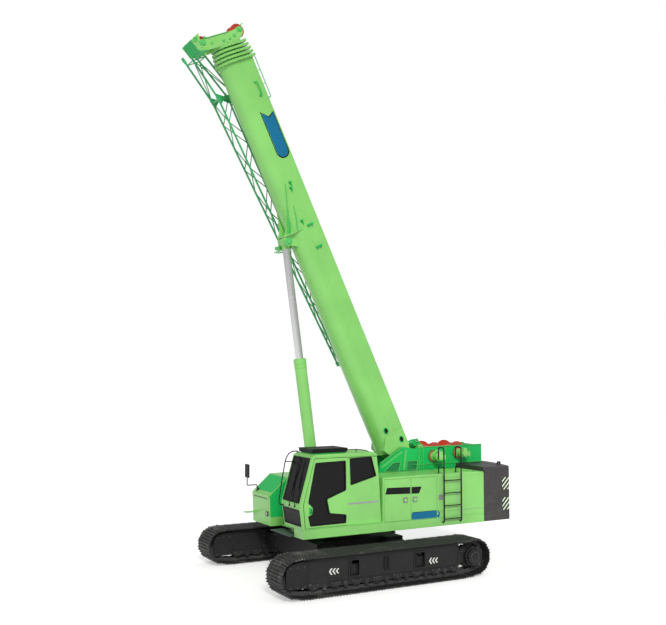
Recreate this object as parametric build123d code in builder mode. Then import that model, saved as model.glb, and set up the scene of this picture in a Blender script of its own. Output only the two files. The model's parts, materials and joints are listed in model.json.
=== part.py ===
"""Telescopic crawler crane.  Millimetres, +X forward, +Y left, +Z up.

The origin is on the slew axis at floor level.  The boom is modelled in its own frame, whose origin is
the boom foot pin: s runs along the boom, n square to it towards its top plate, y across.
"""
import os
from math import atan2, cos, degrees, hypot, pi, radians, sin

from build123d import *

os.makedirs("parts", exist_ok=True)

# ------------------------------------------------------------------ driving sizes: tracks
TRACK_LENGTH = 4980        # over the grouser tips
TRACK_HEIGHT = 810         # over the grouser tips
TRACK_OVERALL = 4326       # outer shoe edge to outer shoe edge
SHOE_WIDTH = 668
SHOE_COUNT = 54            # shoes in one track
SHOE_THICK = 14
GROUSER_HEIGHT = 26
CHAIN_HEIGHT = 86          # link chain under the shoes
CHAIN_WIDTH = 210
GROUND_FRONT = 1880        # foremost roller's contact with the floor
GROUND_REAR = -1810
ROLLER_RADIUS = 92
ROLLER_COUNT = 8
ROLLER_AXLE = 34
CARRIER_RADIUS = 66
CARRIER_X = (-850, 850)
RUN_GAP = 0.05             # a pin's radial play in the eye that turns on it
SEAT_GAP = 0.3             # between faces of different bodies, or a roller and its chain
FRAME_WIDTH = 372          # track frame box, across
FRAME_TOP = 535
FRAME_BOTTOM = 168
FRAME_FRONT = 1830
FRAME_REAR = -1790
AXLE_RADIUS = 45

# ------------------------------------------------------------------ driving sizes: car body
BEAM_X = 850               # cross beams ahead of and behind the slew axis
BEAM_LENGTH = 330          # along X
BEAM_TOP = 640
BEAM_BOTTOM = 360
CARBODY_HALF_LENGTH = 700
CARBODY_HALF_WIDTH = 760
CARBODY_BOTTOM = 430
CARBODY_TOP = 862
RING_RADIUS = 640
RING_HEIGHT = 52
RING_BORE = 430

# ------------------------------------------------------------------ driving sizes: superstructure
DECK_BOTTOM = 977
DECK_TOP = 1156
DECK_FRONT = 1580
HOUSE_REAR = -2970
HALF_WIDTH = 1350
SKIRT_THICK = 8
CENTRE_HALF = 430          # clear half width of the boom bay between the side housings
FLOOR_TOP = 995           # turntable plate
HOUSE_TOP = 2090
HOUSE_FRONT = -290
WALL = 40                  # depth of a door or pressed wall
DOOR_GAP = 6
WEIGHT_TOP = 2180
TAIL_RADIUS = 3945
TAIL_CROWN = 240                    # the tail's middle stands this far behind its side edges
WEIGHT_SIDE_REAR = TAIL_CROWN - TAIL_RADIUS

# ------------------------------------------------------------------ driving sizes: cab
CAB_INNER = 520
CAB_SPACE = HALF_WIDTH - CAB_INNER
CAB_WALL = 40
CAB_ROOF = 2645
CAB_DOOR_THICK = 45
GLASS = 6

# ------------------------------------------------------------------ driving sizes: boom
PIVOT_X = -1600
PIVOT_Z = 2350
BOOM_ANGLE = 64.6
BASE_HALF = 270
BASE_TOP = 227             # n of the base section's top plate
BASE_BOTTOM = -476         # n of the base section's lowest line
BASE_START = 260
BASE_END = 9560
PLATE = 8
STEP_SIDE = 27             # how much each section is narrower, on each side
STEP_FACE = 31             # how much each section is shallower, at the top and at the bottom
COLLAR_OUT = 62            # the base collar stands this far out of its section
COLLAR_GROW = 17           # and each smaller section's collar this much further
COLLAR_LENGTH = 46
COLLAR_PITCH = 86
SECTIONS = 5
PAD_GAP = 0.3

# ------------------------------------------------------------------ driving sizes: luffing cylinder
CYL_FOOT_X = 510
CYL_FOOT_Z = 1215
CYL_TOP_S = 5593           # rod pin, in the boom frame
CYL_TOP_N = -600
BARREL_RADIUS = 130
BARREL_LENGTH = 3420
ROD_RADIUS = 82
PIN_RADIUS = 45
EYE_RADIUS = 105


def ring_z():
    return CARBODY_TOP + RING_HEIGHT


# ------------------------------------------------------------------ frames of reference
SIDE = Plane(origin=(0, 0, 0), x_dir=(1, 0, 0), z_dir=(0, -1, 0))      # local x = X, local y = Z
BOOM_X = (cos(radians(BOOM_ANGLE)), 0, sin(radians(BOOM_ANGLE)))
BOOM_SIDE = Plane(origin=(PIVOT_X, 0, PIVOT_Z), x_dir=BOOM_X, z_dir=(0, -1, 0))


def side_at(y):
    """Vertical plane at this Y: local x is X, local y is Z, and it faces right."""
    return Plane(origin=(0, y, 0), x_dir=(1, 0, 0), z_dir=(0, -1, 0))


def boom_side_at(y):
    """The boom's own side plane at this Y: local x is s, local y is n."""
    return Plane(origin=(PIVOT_X, y, PIVOT_Z), x_dir=BOOM_X, z_dir=(0, -1, 0))


def boom_point(s, n, y=0.0):
    x = PIVOT_X + s * cos(radians(BOOM_ANGLE)) - n * sin(radians(BOOM_ANGLE))
    z = PIVOT_Z + s * sin(radians(BOOM_ANGLE)) + n * cos(radians(BOOM_ANGLE))
    return (x, y, z)


def boom_section_plane(s):
    """Plane square to the boom at s: local x is Y, local y is n."""
    return Plane(origin=boom_point(s, 0), x_dir=(0, 1, 0), z_dir=BOOM_X)


def save(builder, label):
    builder.part.label = label
    export_step(builder.part, "parts/" + label + ".step")


# ================================================================== tracks
WHEEL_OUTER = TRACK_HEIGHT / 2 - 15                   # idler end, over the grousers
WHEEL_Z = TRACK_HEIGHT - WHEEL_OUTER
WHEEL_X = TRACK_LENGTH / 2 - WHEEL_OUTER
PITCH_IN = GROUSER_HEIGHT + SHOE_THICK                # grouser tip to the shoe's inner face
RAIL_IN = PITCH_IN + CHAIN_HEIGHT                     # grouser tip to the chain's rail
RAIL_RADIUS = WHEEL_OUTER - RAIL_IN
TRACK_Y = (TRACK_OVERALL - SHOE_WIDTH) / 2


def wheel_tangent(contact_x, side):
    """Angle at which the line from a floor contact leaves the end wheel's outer circle."""
    dx = side * WHEEL_X - contact_x
    reach = hypot(dx, WHEEL_Z)
    to_contact = atan2(-WHEEL_Z, -dx)
    swing = side * atan2((reach ** 2 - WHEEL_OUTER ** 2) ** 0.5, WHEEL_OUTER)
    return to_contact + swing


FRONT_ANGLE = wheel_tangent(GROUND_FRONT, 1)
REAR_ANGLE = wheel_tangent(GROUND_REAR, -1)


def loop_legs(inset):
    """The track's path, inset from the grouser tips, as (kind, length, data) legs from the rear top."""
    r = WHEEL_OUTER - inset
    top = TRACK_HEIGHT - inset
    front_leave = (WHEEL_X + r * cos(FRONT_ANGLE), WHEEL_Z + r * sin(FRONT_ANGLE))
    rear_leave = (-WHEEL_X + r * cos(REAR_ANGLE), WHEEL_Z + r * sin(REAR_ANGLE))
    front_foot = (GROUND_FRONT, inset)
    rear_foot = (GROUND_REAR, inset)
    legs = [
        ("line", (-WHEEL_X, top), (WHEEL_X, top)),
        ("arc", (WHEEL_X, WHEEL_Z), r, pi / 2, FRONT_ANGLE),
        ("line", front_leave, front_foot),
        ("line", front_foot, rear_foot),
        ("line", rear_foot, rear_leave),
        ("arc", (-WHEEL_X, WHEEL_Z), r, REAR_ANGLE % (2 * pi), pi / 2),
    ]
    return legs


def leg_length(leg):
    if leg[0] == "line":
        return hypot(leg[2][0] - leg[1][0], leg[2][1] - leg[1][1])
    return leg[2] * abs(leg[4] - leg[3])


def loop_point(share, inset):
    """Point at a share of the outer loop, moved in from it by inset along the local normal."""
    legs = loop_legs(0)
    left = share % 1.0 * sum(leg_length(leg) for leg in legs)
    for leg in legs:
        length = leg_length(leg)
        if left <= length:
            break
        left -= length
    t = left / length
    if leg[0] == "line":
        (x0, z0), (x1, z1) = leg[1], leg[2]
        dx, dz = (x1 - x0) / length, (z1 - z0) / length
        return (x0 + t * (x1 - x0) + inset * dz, z0 + t * (z1 - z0) - inset * dx)
    (cx, cz), r, a0, a1 = leg[1:]
    a = a0 + t * (a1 - a0)
    return (cx + (r - inset) * cos(a), cz + (r - inset) * sin(a))


# one shoe's outline: (share of the pitch, depth below the grouser tip)
SHOE_PROFILE = (
    (0.03, GROUSER_HEIGHT), (0.06, 0), (0.14, 0), (0.20, GROUSER_HEIGHT),
    (0.40, GROUSER_HEIGHT), (0.44, 4), (0.51, 4), (0.55, GROUSER_HEIGHT),
    (0.76, GROUSER_HEIGHT), (0.80, 0), (0.88, 0), (0.92, GROUSER_HEIGHT),
)


def track(side):
    centre = side * TRACK_Y
    outer = []
    for shoe in range(SHOE_COUNT):
        for share, depth in SHOE_PROFILE:
            outer.append(loop_point((shoe + share) / SHOE_COUNT, depth))
    inner = [loop_point((shoe + 0.5) / SHOE_COUNT, PITCH_IN) for shoe in range(SHOE_COUNT)]
    rail = [loop_point((shoe + 0.5) / SHOE_COUNT, RAIL_IN) for shoe in range(SHOE_COUNT)]
    with BuildPart() as belt:
        with BuildSketch(side_at(centre)):
            with BuildLine():
                Polyline(*outer, close=True)
            make_face()
            with BuildLine():
                Polyline(*inner, close=True)
            make_face(mode=Mode.SUBTRACT)
        extrude(amount=SHOE_WIDTH / 2, both=True)
        with BuildSketch(side_at(centre)):
            with BuildLine():
                Polyline(*inner, close=True)
            make_face()
            with BuildLine():
                Polyline(*rail, close=True)
            make_face(mode=Mode.SUBTRACT)
        extrude(amount=CHAIN_WIDTH / 2, both=True)
    return belt


LOOP_LENGTH = sum(leg_length(leg) for leg in loop_legs(0))
# the chain bends only at its pins, so its straight links pass inside the rail's arc round a wheel
TREAD_RADIUS = RAIL_RADIUS * cos(LOOP_LENGTH / SHOE_COUNT / WHEEL_OUTER / 2) - SEAT_GAP

SIDES = (("left", 1), ("right", -1))
for side_name, side in SIDES:
    belt = track(side)
    save(belt, "track_" + side_name)

# ================================================================== wheels, rollers and track frames
RAIL_Z = RAIL_IN                                         # top of the chain's rail on the floor run
ROLLER_Z = RAIL_Z + ROLLER_RADIUS + SEAT_GAP
CARRIER_Z = TRACK_HEIGHT - RAIL_IN - CARRIER_RADIUS - SEAT_GAP
WHEEL_WIDTH = CHAIN_WIDTH - 50
ROLLER_SPAN = GROUND_FRONT - GROUND_REAR - 2 * 180
ROLLER_PITCH = ROLLER_SPAN / (ROLLER_COUNT - 1)
ROLLER_MID = (GROUND_FRONT + GROUND_REAR) / 2
TOOTH_COUNT = 19
HUB_RADIUS = 150
YOKE_THICK = 24
DRIVE_OUT = 60             # each of the final drive's two steps
YOKE_OUT = FRAME_WIDTH / 2 - 12           # outer face of the end yokes, from the track's middle

with BuildPart() as idlers:
    for side_name, side in SIDES:
        with BuildSketch(side_at(side * TRACK_Y)):
            with Locations((WHEEL_X, WHEEL_Z)):
                Circle(TREAD_RADIUS)
        extrude(amount=WHEEL_WIDTH / 2, both=True)
        with BuildSketch(side_at(side * TRACK_Y)):
            with Locations((WHEEL_X, WHEEL_Z)):
                Circle(TREAD_RADIUS - 40)
                Circle(HUB_RADIUS / 2, mode=Mode.SUBTRACT)
        extrude(amount=WHEEL_WIDTH / 2, both=True, mode=Mode.SUBTRACT)
        with BuildSketch(side_at(side * TRACK_Y)):
            with Locations((WHEEL_X, WHEEL_Z)):
                Circle(TREAD_RADIUS - 39)
        extrude(amount=14, both=True)
        with BuildSketch(side_at(side * TRACK_Y)):
            with Locations((WHEEL_X, WHEEL_Z)):
                Circle(AXLE_RADIUS)
        extrude(amount=YOKE_OUT - SEAT_GAP, both=True)
save(idlers, "idlers")

with BuildPart() as sprockets:
    for side_name, side in SIDES:
        with BuildSketch(side_at(side * TRACK_Y)):
            with Locations((-WHEEL_X, WHEEL_Z)):
                Circle(TREAD_RADIUS - 40)
                with PolarLocations(TREAD_RADIUS - 30, TOOTH_COUNT):
                    Rectangle(58, 34)
        extrude(amount=38, both=True)
        with BuildSketch(side_at(side * TRACK_Y)):
            with Locations((-WHEEL_X, WHEEL_Z)):
                Circle(HUB_RADIUS)
        extrude(amount=FRAME_WIDTH / 2 - 30, both=True)
save(sprockets, "sprockets")

with BuildPart() as final_drives:
    for side_name, side in SIDES:
        with BuildSketch(side_at(side * (TRACK_Y + YOKE_OUT))):
            with Locations((-WHEEL_X, WHEEL_Z)):
                Circle(HUB_RADIUS + 50)
        extrude(amount=-side * DRIVE_OUT)
        with BuildSketch(side_at(side * (TRACK_Y + YOKE_OUT + DRIVE_OUT))):
            with Locations((-WHEEL_X, WHEEL_Z)):
                RegularPolygon(HUB_RADIUS + 30, 8, rotation=22.5)
        extrude(amount=-side * DRIVE_OUT)
save(final_drives, "final_drives")

with BuildPart() as bottom_rollers:
    for side_name, side in SIDES:
        for i in range(ROLLER_COUNT):
            x = ROLLER_MID + (i - (ROLLER_COUNT - 1) / 2) * ROLLER_PITCH
            with BuildSketch(side_at(side * TRACK_Y)):
                with Locations((x, ROLLER_Z)):
                    Circle(ROLLER_RADIUS)
            extrude(amount=WHEEL_WIDTH / 2, both=True)
            with BuildSketch(side_at(side * TRACK_Y)):
                with Locations((x, ROLLER_Z)):
                    Circle(ROLLER_AXLE)
            extrude(amount=FRAME_WIDTH / 2 - 20, both=True)
save(bottom_rollers, "bottom_rollers")

with BuildPart() as carrier_rollers:
    for side_name, side in SIDES:
        for x in CARRIER_X:
            with BuildSketch(side_at(side * TRACK_Y)):
                with Locations((x, CARRIER_Z)):
                    Circle(CARRIER_RADIUS)
            extrude(amount=WHEEL_WIDTH / 2, both=True)
            with BuildSketch(side_at(side * TRACK_Y)):
                with Locations((x, (CARRIER_Z + FRAME_TOP) / 2)):
                    Rectangle(80, CARRIER_Z - FRAME_TOP)
            extrude(amount=22, both=True)
save(carrier_rollers, "carrier_rollers")

PLATE_THICK = 20
COVER_THICK = 9            # a cover's skin, outside the idler's yoke
FRAME_PLATE = (
    (1850, 184), (1850, 712), (1500, 730), (-1700, 730), (-1760, 690), (-1760, 300), (-1690, 240),
    (1390, 240), (1410, 184),
)
FRAME_COVER = (
    (1830, 196), (2250, 200), (2290, 250), (2290, 560), (2230, 640), (2060, 690), (1830, 700),
)
FRAME_WINDOWS = ((795, 210), (-760, 240))     # centre X and width of each pocket
for side_name, side in SIDES:
    with BuildPart() as track_frame:
        with BuildSketch(side_at(side * TRACK_Y)):
            with BuildLine():
                Polyline(
                    (FRAME_FRONT - 220, FRAME_BOTTOM), (FRAME_FRONT, FRAME_BOTTOM + 130),
                    (FRAME_FRONT, FRAME_TOP - 130), (FRAME_FRONT - 200, FRAME_TOP),
                    (FRAME_REAR + 160, FRAME_TOP), (FRAME_REAR, FRAME_TOP - 60),
                    (FRAME_REAR, FRAME_BOTTOM + 110), (FRAME_REAR + 200, FRAME_BOTTOM),
                    close=True,
                )
            make_face()
        extrude(amount=FRAME_WIDTH / 2, both=True)
        # the roller tunnel: an open channel along the frame's underside
        with BuildSketch(side_at(side * TRACK_Y)):
            with Locations(((FRAME_FRONT + FRAME_REAR) / 2, FRAME_BOTTOM)):
                Rectangle(FRAME_FRONT - FRAME_REAR, 2 * (ROLLER_Z + ROLLER_RADIUS + 12 - FRAME_BOTTOM))
        extrude(amount=CHAIN_WIDTH / 2, both=True, mode=Mode.SUBTRACT)
        with BuildSketch(side_at(side * TRACK_Y)):
            for i in range(ROLLER_COUNT):
                with Locations((ROLLER_MID + (i - (ROLLER_COUNT - 1) / 2) * ROLLER_PITCH, ROLLER_Z)):
                    Circle(ROLLER_AXLE + SEAT_GAP)
        extrude(amount=FRAME_WIDTH / 2 - 19, both=True, mode=Mode.SUBTRACT)
        # tall plates over both faces, and a cover over the idler at each
        for face in (-1, 1):
            with BuildSketch(side_at(side * TRACK_Y + face * FRAME_WIDTH / 2)):
                with BuildLine():
                    Polyline(*FRAME_PLATE, close=True)
                make_face()
                for x, wide in FRAME_WINDOWS:
                    with Locations((x, 475)):
                        RectangleRounded(wide, 300, 25, mode=Mode.SUBTRACT)
            extrude(amount=face * PLATE_THICK)
            with BuildSketch(side_at(side * TRACK_Y + face * (YOKE_OUT + COVER_THICK))):
                with BuildLine():
                    Polyline(*FRAME_COVER, close=True)
                make_face()
            extrude(amount=face * COVER_THICK)
        # recessed pockets in the outer face
        with BuildSketch(side_at(side * (TRACK_Y + FRAME_WIDTH / 2))):
            for x, wide in FRAME_WINDOWS:
                with Locations((x, 475)):
                    RectangleRounded(wide, 300, 25)
        extrude(amount=side * 60, mode=Mode.SUBTRACT)
        # yokes that carry the idler axle and the final drive
        for yoke_side in (-1, 1):
            with BuildSketch(side_at(side * TRACK_Y + yoke_side * (YOKE_OUT - YOKE_THICK / 2))):
                with Locations((FRAME_FRONT / 2 + WHEEL_X / 2 - 80, WHEEL_Z)):
                    Rectangle(WHEEL_X - FRAME_FRONT + 160, 190)
                with Locations((FRAME_REAR / 2 - WHEEL_X / 2 + 80, WHEEL_Z)):
                    Rectangle(WHEEL_X + FRAME_REAR + 160, 190)
                with Locations((WHEEL_X, WHEEL_Z)):
                    Circle(95)
                with Locations((-WHEEL_X, WHEEL_Z)):
                    Circle(HUB_RADIUS + 25)
            extrude(amount=YOKE_THICK / 2, both=True)
        with BuildSketch(side_at(side * TRACK_Y)):
            with Locations((WHEEL_X, WHEEL_Z)):
                Circle(AXLE_RADIUS + SEAT_GAP)
        extrude(amount=YOKE_OUT, both=True, mode=Mode.SUBTRACT)
        with BuildSketch(side_at(side * TRACK_Y)):
            with Locations((-WHEEL_X, WHEEL_Z)):
                Circle(HUB_RADIUS + SEAT_GAP)
        extrude(amount=FRAME_WIDTH, both=True, mode=Mode.SUBTRACT)
    save(track_frame, "track_frame_" + side_name)

# ================================================================== car body, cross beams, slew ring
with BuildPart() as carbody:
    with BuildSketch(Plane.XY.offset(CARBODY_BOTTOM)):
        Rectangle(2 * CARBODY_HALF_LENGTH, 2 * CARBODY_HALF_WIDTH)
        for x in (-BEAM_X, BEAM_X):
            with Locations((x, 0)):
                Rectangle(BEAM_LENGTH + 90, 2 * (CARBODY_HALF_WIDTH + 180))
    extrude(amount=CARBODY_TOP - 90 - CARBODY_BOTTOM)
    with BuildSketch(Plane.XY.offset(CARBODY_TOP - 90)):
        Circle(RING_RADIUS + 60)
    with BuildSketch(Plane.XY.offset(CARBODY_TOP)):
        Circle(RING_RADIUS + 20)
    loft()
    for x in (-BEAM_X, BEAM_X):
        with BuildSketch(Plane.XZ):
            with Locations((x, (BEAM_TOP + BEAM_BOTTOM) / 2)):
                Rectangle(BEAM_LENGTH + 60, BEAM_TOP - BEAM_BOTTOM + 60)
        extrude(amount=CARBODY_HALF_WIDTH + 180, both=True)
    for x in (-BEAM_X, BEAM_X):
        with BuildSketch(Plane.XZ):
            with Locations((x, (BEAM_TOP + BEAM_BOTTOM) / 2)):
                Rectangle(BEAM_LENGTH, BEAM_TOP - BEAM_BOTTOM)
        extrude(amount=CARBODY_HALF_WIDTH + 400, both=True, mode=Mode.SUBTRACT)
save(carbody, "carbody")

with BuildPart() as cross_beams:
    for x in (-BEAM_X, BEAM_X):
        with BuildSketch(Plane.XZ):
            with Locations((x, (BEAM_TOP + BEAM_BOTTOM) / 2)):
                Rectangle(BEAM_LENGTH - 2 * SEAT_GAP, BEAM_TOP - BEAM_BOTTOM - 2 * SEAT_GAP)
        extrude(amount=TRACK_Y - FRAME_WIDTH / 2, both=True)
save(cross_beams, "cross_beams")

with BuildPart() as slew_ring:
    with BuildSketch(Plane.XY.offset(CARBODY_TOP)):
        Circle(RING_RADIUS)
        Circle(RING_BORE, mode=Mode.SUBTRACT)
    extrude(amount=RING_HEIGHT)
save(slew_ring, "slew_ring")

# ================================================================== deck and turntable
CAB_FLOOR = DECK_TOP
BAY_FRONT = 1200           # front edge of the turntable between the cab and the right box
BOX_FRONT = 1460
STEP_REAR = 1380           # the step plate fills the deck's front corner beside the cab
STEP_LEFT = 940
STEP_RIGHT = 30
STEP_FRONT = 1690
with BuildPart() as deck:
    with BuildSketch(Plane.XY.offset(ring_z() + SEAT_GAP)):
        Circle(RING_RADIUS - 25)
        Circle(RING_BORE, mode=Mode.SUBTRACT)
    extrude(amount=DECK_BOTTOM - ring_z() - SEAT_GAP)
    with BuildSketch(Plane.XY.offset(DECK_BOTTOM)):
        with BuildLine():
            Polyline(
                (DECK_FRONT, HALF_WIDTH), (DECK_FRONT, STEP_LEFT), (STEP_REAR, STEP_LEFT),
                (STEP_REAR, CENTRE_HALF), (BAY_FRONT, CENTRE_HALF), (BAY_FRONT, -CENTRE_HALF),
                (BOX_FRONT, -CENTRE_HALF), (BOX_FRONT, -HALF_WIDTH), (HOUSE_REAR, -HALF_WIDTH),
                (HOUSE_REAR, HALF_WIDTH), close=True,
            )
        make_face()
    extrude(amount=FLOOR_TOP - DECK_BOTTOM)
    with BuildSketch(Plane.XY.offset(FLOOR_TOP)):
        with BuildLine():
            Polyline(
                (DECK_FRONT, HALF_WIDTH), (DECK_FRONT, STEP_LEFT), (STEP_REAR, STEP_LEFT),
                (STEP_REAR, CENTRE_HALF), (HOUSE_REAR, CENTRE_HALF), (HOUSE_REAR, HALF_WIDTH), close=True,
            )
        make_face()
        with Locations(((BOX_FRONT + HOUSE_REAR) / 2, -(HALF_WIDTH + CENTRE_HALF) / 2)):
            Rectangle(BOX_FRONT - HOUSE_REAR, HALF_WIDTH - CENTRE_HALF)
    extrude(amount=DECK_TOP - FLOOR_TOP)
    with Locations((0, 0, FLOOR_TOP)):
        Hole(RING_BORE - 60)
save(deck, "deck")

# boom bay: two upright cheeks that carry the boom foot and the luffing cylinder's foot
CHEEK_Y = BASE_HALF + 26
CHEEK_THICK = 34
with BuildPart() as boom_cheeks:
    for side in (-1, 1):
        with BuildSketch(side_at(side * (CHEEK_Y + CHEEK_THICK / 2))):
            with BuildLine():
                Polyline(
                    (CYL_FOOT_X + 260, FLOOR_TOP), (CYL_FOOT_X + 190, CYL_FOOT_Z + 150),
                    (CYL_FOOT_X - 200, CYL_FOOT_Z + 190), (-560, 1700),
                    (PIVOT_X + 190, PIVOT_Z + 60), (PIVOT_X + 80, PIVOT_Z + 165),
                    (PIVOT_X - 110, PIVOT_Z + 165), (PIVOT_X - 420, PIVOT_Z - 120),
                    (PIVOT_X - 1100, 1500), (PIVOT_X - 1200, FLOOR_TOP),
                    close=True,
                )
            make_face()
            with Locations((PIVOT_X, PIVOT_Z), (CYL_FOOT_X, CYL_FOOT_Z)):
                Circle(PIN_RADIUS, mode=Mode.SUBTRACT)
        extrude(amount=CHEEK_THICK / 2, both=True)
    with BuildSketch(side_at(0)):
        with Locations((PIVOT_X - 700, 1500)):
            Rectangle(30, 700)
    extrude(amount=CHEEK_Y, both=True)
save(boom_cheeks, "boom_cheeks")

with BuildPart() as step_plate:
    with BuildSketch(Plane.XY.offset(FLOOR_TOP - 8)):
        with Locations(((STEP_FRONT + STEP_REAR) / 2, (STEP_LEFT + STEP_RIGHT) / 2)):
            Rectangle(STEP_FRONT - STEP_REAR, STEP_LEFT - STEP_RIGHT - 2 * SEAT_GAP)
    extrude(amount=8)
save(step_plate, "step_plate")

# ================================================================== cab
DOOR_FRONT_TOP = 1345
DOOR_REAR = 553
CAB_WAIST = 1650                     # height of the crease between the windscreen and the foot panel
CAB_SIDE = (                       # side outline of the cab, from the rear foot round
    (-285, DECK_TOP), (-232, 2060), (-176, 2575), (-90, CAB_ROOF), (1310, CAB_ROOF),
    (1392, 2590), (1664, CAB_WAIST), (1590, DECK_TOP),
)
CAB_DOOR_LOW = DECK_TOP + 34
CAB_DOOR_HIGH = CAB_ROOF - 85
DOOR_SIDE = (
    (DOOR_REAR, CAB_DOOR_LOW), (DOOR_REAR, CAB_DOOR_HIGH), (1330, CAB_DOOR_HIGH), (1578, CAB_WAIST),
    (1530, CAB_DOOR_LOW),
)
DOOR_FRONT_GAP = 16                  # of the wall's set-in part before the door's front edge
DOOR_TOP_GAP = 12
DOOR_FOOT_GAP = 18
DOOR_LAND = 30                       # width of the wall that the closed door covers
DOOR_WINDOW = (
    (1304, 2473), (616, 2488), (608, 1904), (1055, 1748), (990, 1449), (602, 1395),
    (608, 1243), (1420, 1236), (1466, 1423), (1375, 1446), (1357, 1594), (1466, 1698),
)
QUARTER_WINDOW = ((473, 2522), (-38, 2540), (-150, 2145), (455, 1993))
ROOF_GUARD_X = (520, 1330)
INNER_PANE = ((60, 1700), (-20, 2500), (1250, 2500), (1480, 1700))
SCREENS = ((1700, 2560), (1235, 1545))    # height of each front opening
PANE_EDGE = 104                           # what a front opening leaves of the cab's width
PANE_Y = (HALF_WIDTH + CAB_INNER) / 2 - 8
REAR_PANE_Y = (HALF_WIDTH + CAB_INNER) / 2 - 20
REAR_PANE_Z = 2300
REAR_PANE_WIDTH = CAB_SPACE - 200
REAR_PANE_HEIGHT = 420

with BuildPart() as cab_shell:
    with BuildSketch(side_at(CAB_INNER)):
        with BuildLine():
            Polyline(*CAB_SIDE, close=True)
        make_face()
    extrude(amount=-(HALF_WIDTH - CAB_INNER))
    with BuildSketch(side_at(CAB_INNER + CAB_WALL)):
        with BuildLine():
            Polyline(*CAB_SIDE, close=True)
        make_face()
        offset(amount=-CAB_WALL, kind=Kind.INTERSECTION)
    extrude(amount=-(HALF_WIDTH - CAB_INNER - 2 * CAB_WALL - CAB_DOOR_THICK), mode=Mode.SUBTRACT)
    # the side wall behind the door front is set in, so that the door slides back over it
    with BuildSketch(side_at(HALF_WIDTH)):
        with BuildLine():
            Polyline(
                (-400, CAB_DOOR_LOW - DOOR_FOOT_GAP), (-400, CAB_DOOR_HIGH + DOOR_TOP_GAP),
                (DOOR_SIDE[2][0] + 6, CAB_DOOR_HIGH + DOOR_TOP_GAP),
                (DOOR_SIDE[3][0] + DOOR_FRONT_GAP, CAB_WAIST),
                (DOOR_SIDE[4][0] + DOOR_FRONT_GAP, CAB_DOOR_LOW - DOOR_FOOT_GAP), close=True,
            )
        make_face()
    extrude(amount=CAB_DOOR_THICK + DOOR_GAP, mode=Mode.SUBTRACT)
    with BuildSketch(side_at(HALF_WIDTH)):
        with BuildLine():
            Polyline(
                (DOOR_REAR + DOOR_LAND, CAB_DOOR_LOW + DOOR_LAND),
                (DOOR_REAR + DOOR_LAND, CAB_DOOR_HIGH - DOOR_LAND),
                (DOOR_SIDE[2][0] - 20, CAB_DOOR_HIGH - DOOR_LAND), (DOOR_SIDE[3][0] - DOOR_LAND, CAB_WAIST),
                (DOOR_SIDE[4][0] - DOOR_LAND, CAB_DOOR_LOW + DOOR_LAND), close=True,
            )
        make_face()
        with BuildLine():
            Polyline(*QUARTER_WINDOW, close=True)
        make_face()
    extrude(amount=CAB_DOOR_THICK + CAB_WALL + 60, mode=Mode.SUBTRACT)
    with BuildSketch(side_at(CAB_INNER)):
        with BuildLine():
            Polyline(*INNER_PANE, close=True)
        make_face()
    extrude(amount=CAB_WALL * 2, both=True, mode=Mode.SUBTRACT)
    # windscreen and lower front openings, and the rear window
    with BuildSketch(Plane.YZ.offset(1000)):
        for low, high in SCREENS:
            with Locations((PANE_Y, (low + high) / 2)):
                Rectangle(CAB_SPACE - PANE_EDGE, high - low)
    extrude(amount=900, mode=Mode.SUBTRACT)
    with BuildSketch(Plane.YZ.offset(-400)):
        with Locations((REAR_PANE_Y, REAR_PANE_Z)):
            Rectangle(REAR_PANE_WIDTH, REAR_PANE_HEIGHT)
    extrude(amount=500, mode=Mode.SUBTRACT)
save(cab_shell, "cab_shell")


def front_x(z, depth):
    """X at this height, a given depth behind the cab's front outline."""
    (x0, z0), (x1, z1), (x2, z2) = CAB_SIDE[-3], CAB_SIDE[-2], CAB_SIDE[-1]
    if z > z1:
        return x1 + (x0 - x1) * (z - z1) / (z0 - z1) - depth
    return x2 + (x1 - x2) * (z - z2) / (z1 - z2) - depth


with BuildPart() as cab_glass:
    with BuildSketch(side_at(PANE_Y)):
        for low, high in SCREENS:
            with BuildLine():
                Polyline(
                    (front_x(low, 12), low + SEAT_GAP), (front_x(high, 12), high - SEAT_GAP),
                    (front_x(high, 12 + GLASS), high - SEAT_GAP),
                    (front_x(low, 12 + GLASS), low + SEAT_GAP), close=True,
                )
            make_face()
    extrude(amount=(CAB_SPACE - PANE_EDGE) / 2 - SEAT_GAP, both=True)
    with BuildSketch(side_at(HALF_WIDTH - CAB_DOOR_THICK - DOOR_GAP - CAB_WALL / 2)):
        with BuildLine():
            Polyline(*QUARTER_WINDOW, close=True)
        make_face()
        offset(amount=-SEAT_GAP)
    extrude(amount=GLASS / 2, both=True)
    with BuildSketch(side_at(CAB_INNER + CAB_WALL / 2)):
        with BuildLine():
            Polyline(*INNER_PANE, close=True)
        make_face()
        offset(amount=-SEAT_GAP)
    extrude(amount=GLASS / 2, both=True)
    with BuildSketch(Plane.YZ.offset(-195)):
        with Locations((REAR_PANE_Y, REAR_PANE_Z)):
            Rectangle(REAR_PANE_WIDTH - 2 * SEAT_GAP, REAR_PANE_HEIGHT - 2 * SEAT_GAP)
    extrude(amount=GLASS)
save(cab_glass, "cab_glass")

with BuildPart() as cab_door:
    with BuildSketch(side_at(HALF_WIDTH)):
        with BuildLine():
            Polyline(*DOOR_SIDE, close=True)
        make_face()
        with BuildLine():
            Polyline(*DOOR_WINDOW, close=True)
        make_face(mode=Mode.SUBTRACT)
    extrude(amount=CAB_DOOR_THICK)
save(cab_door, "cab_door")

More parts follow.
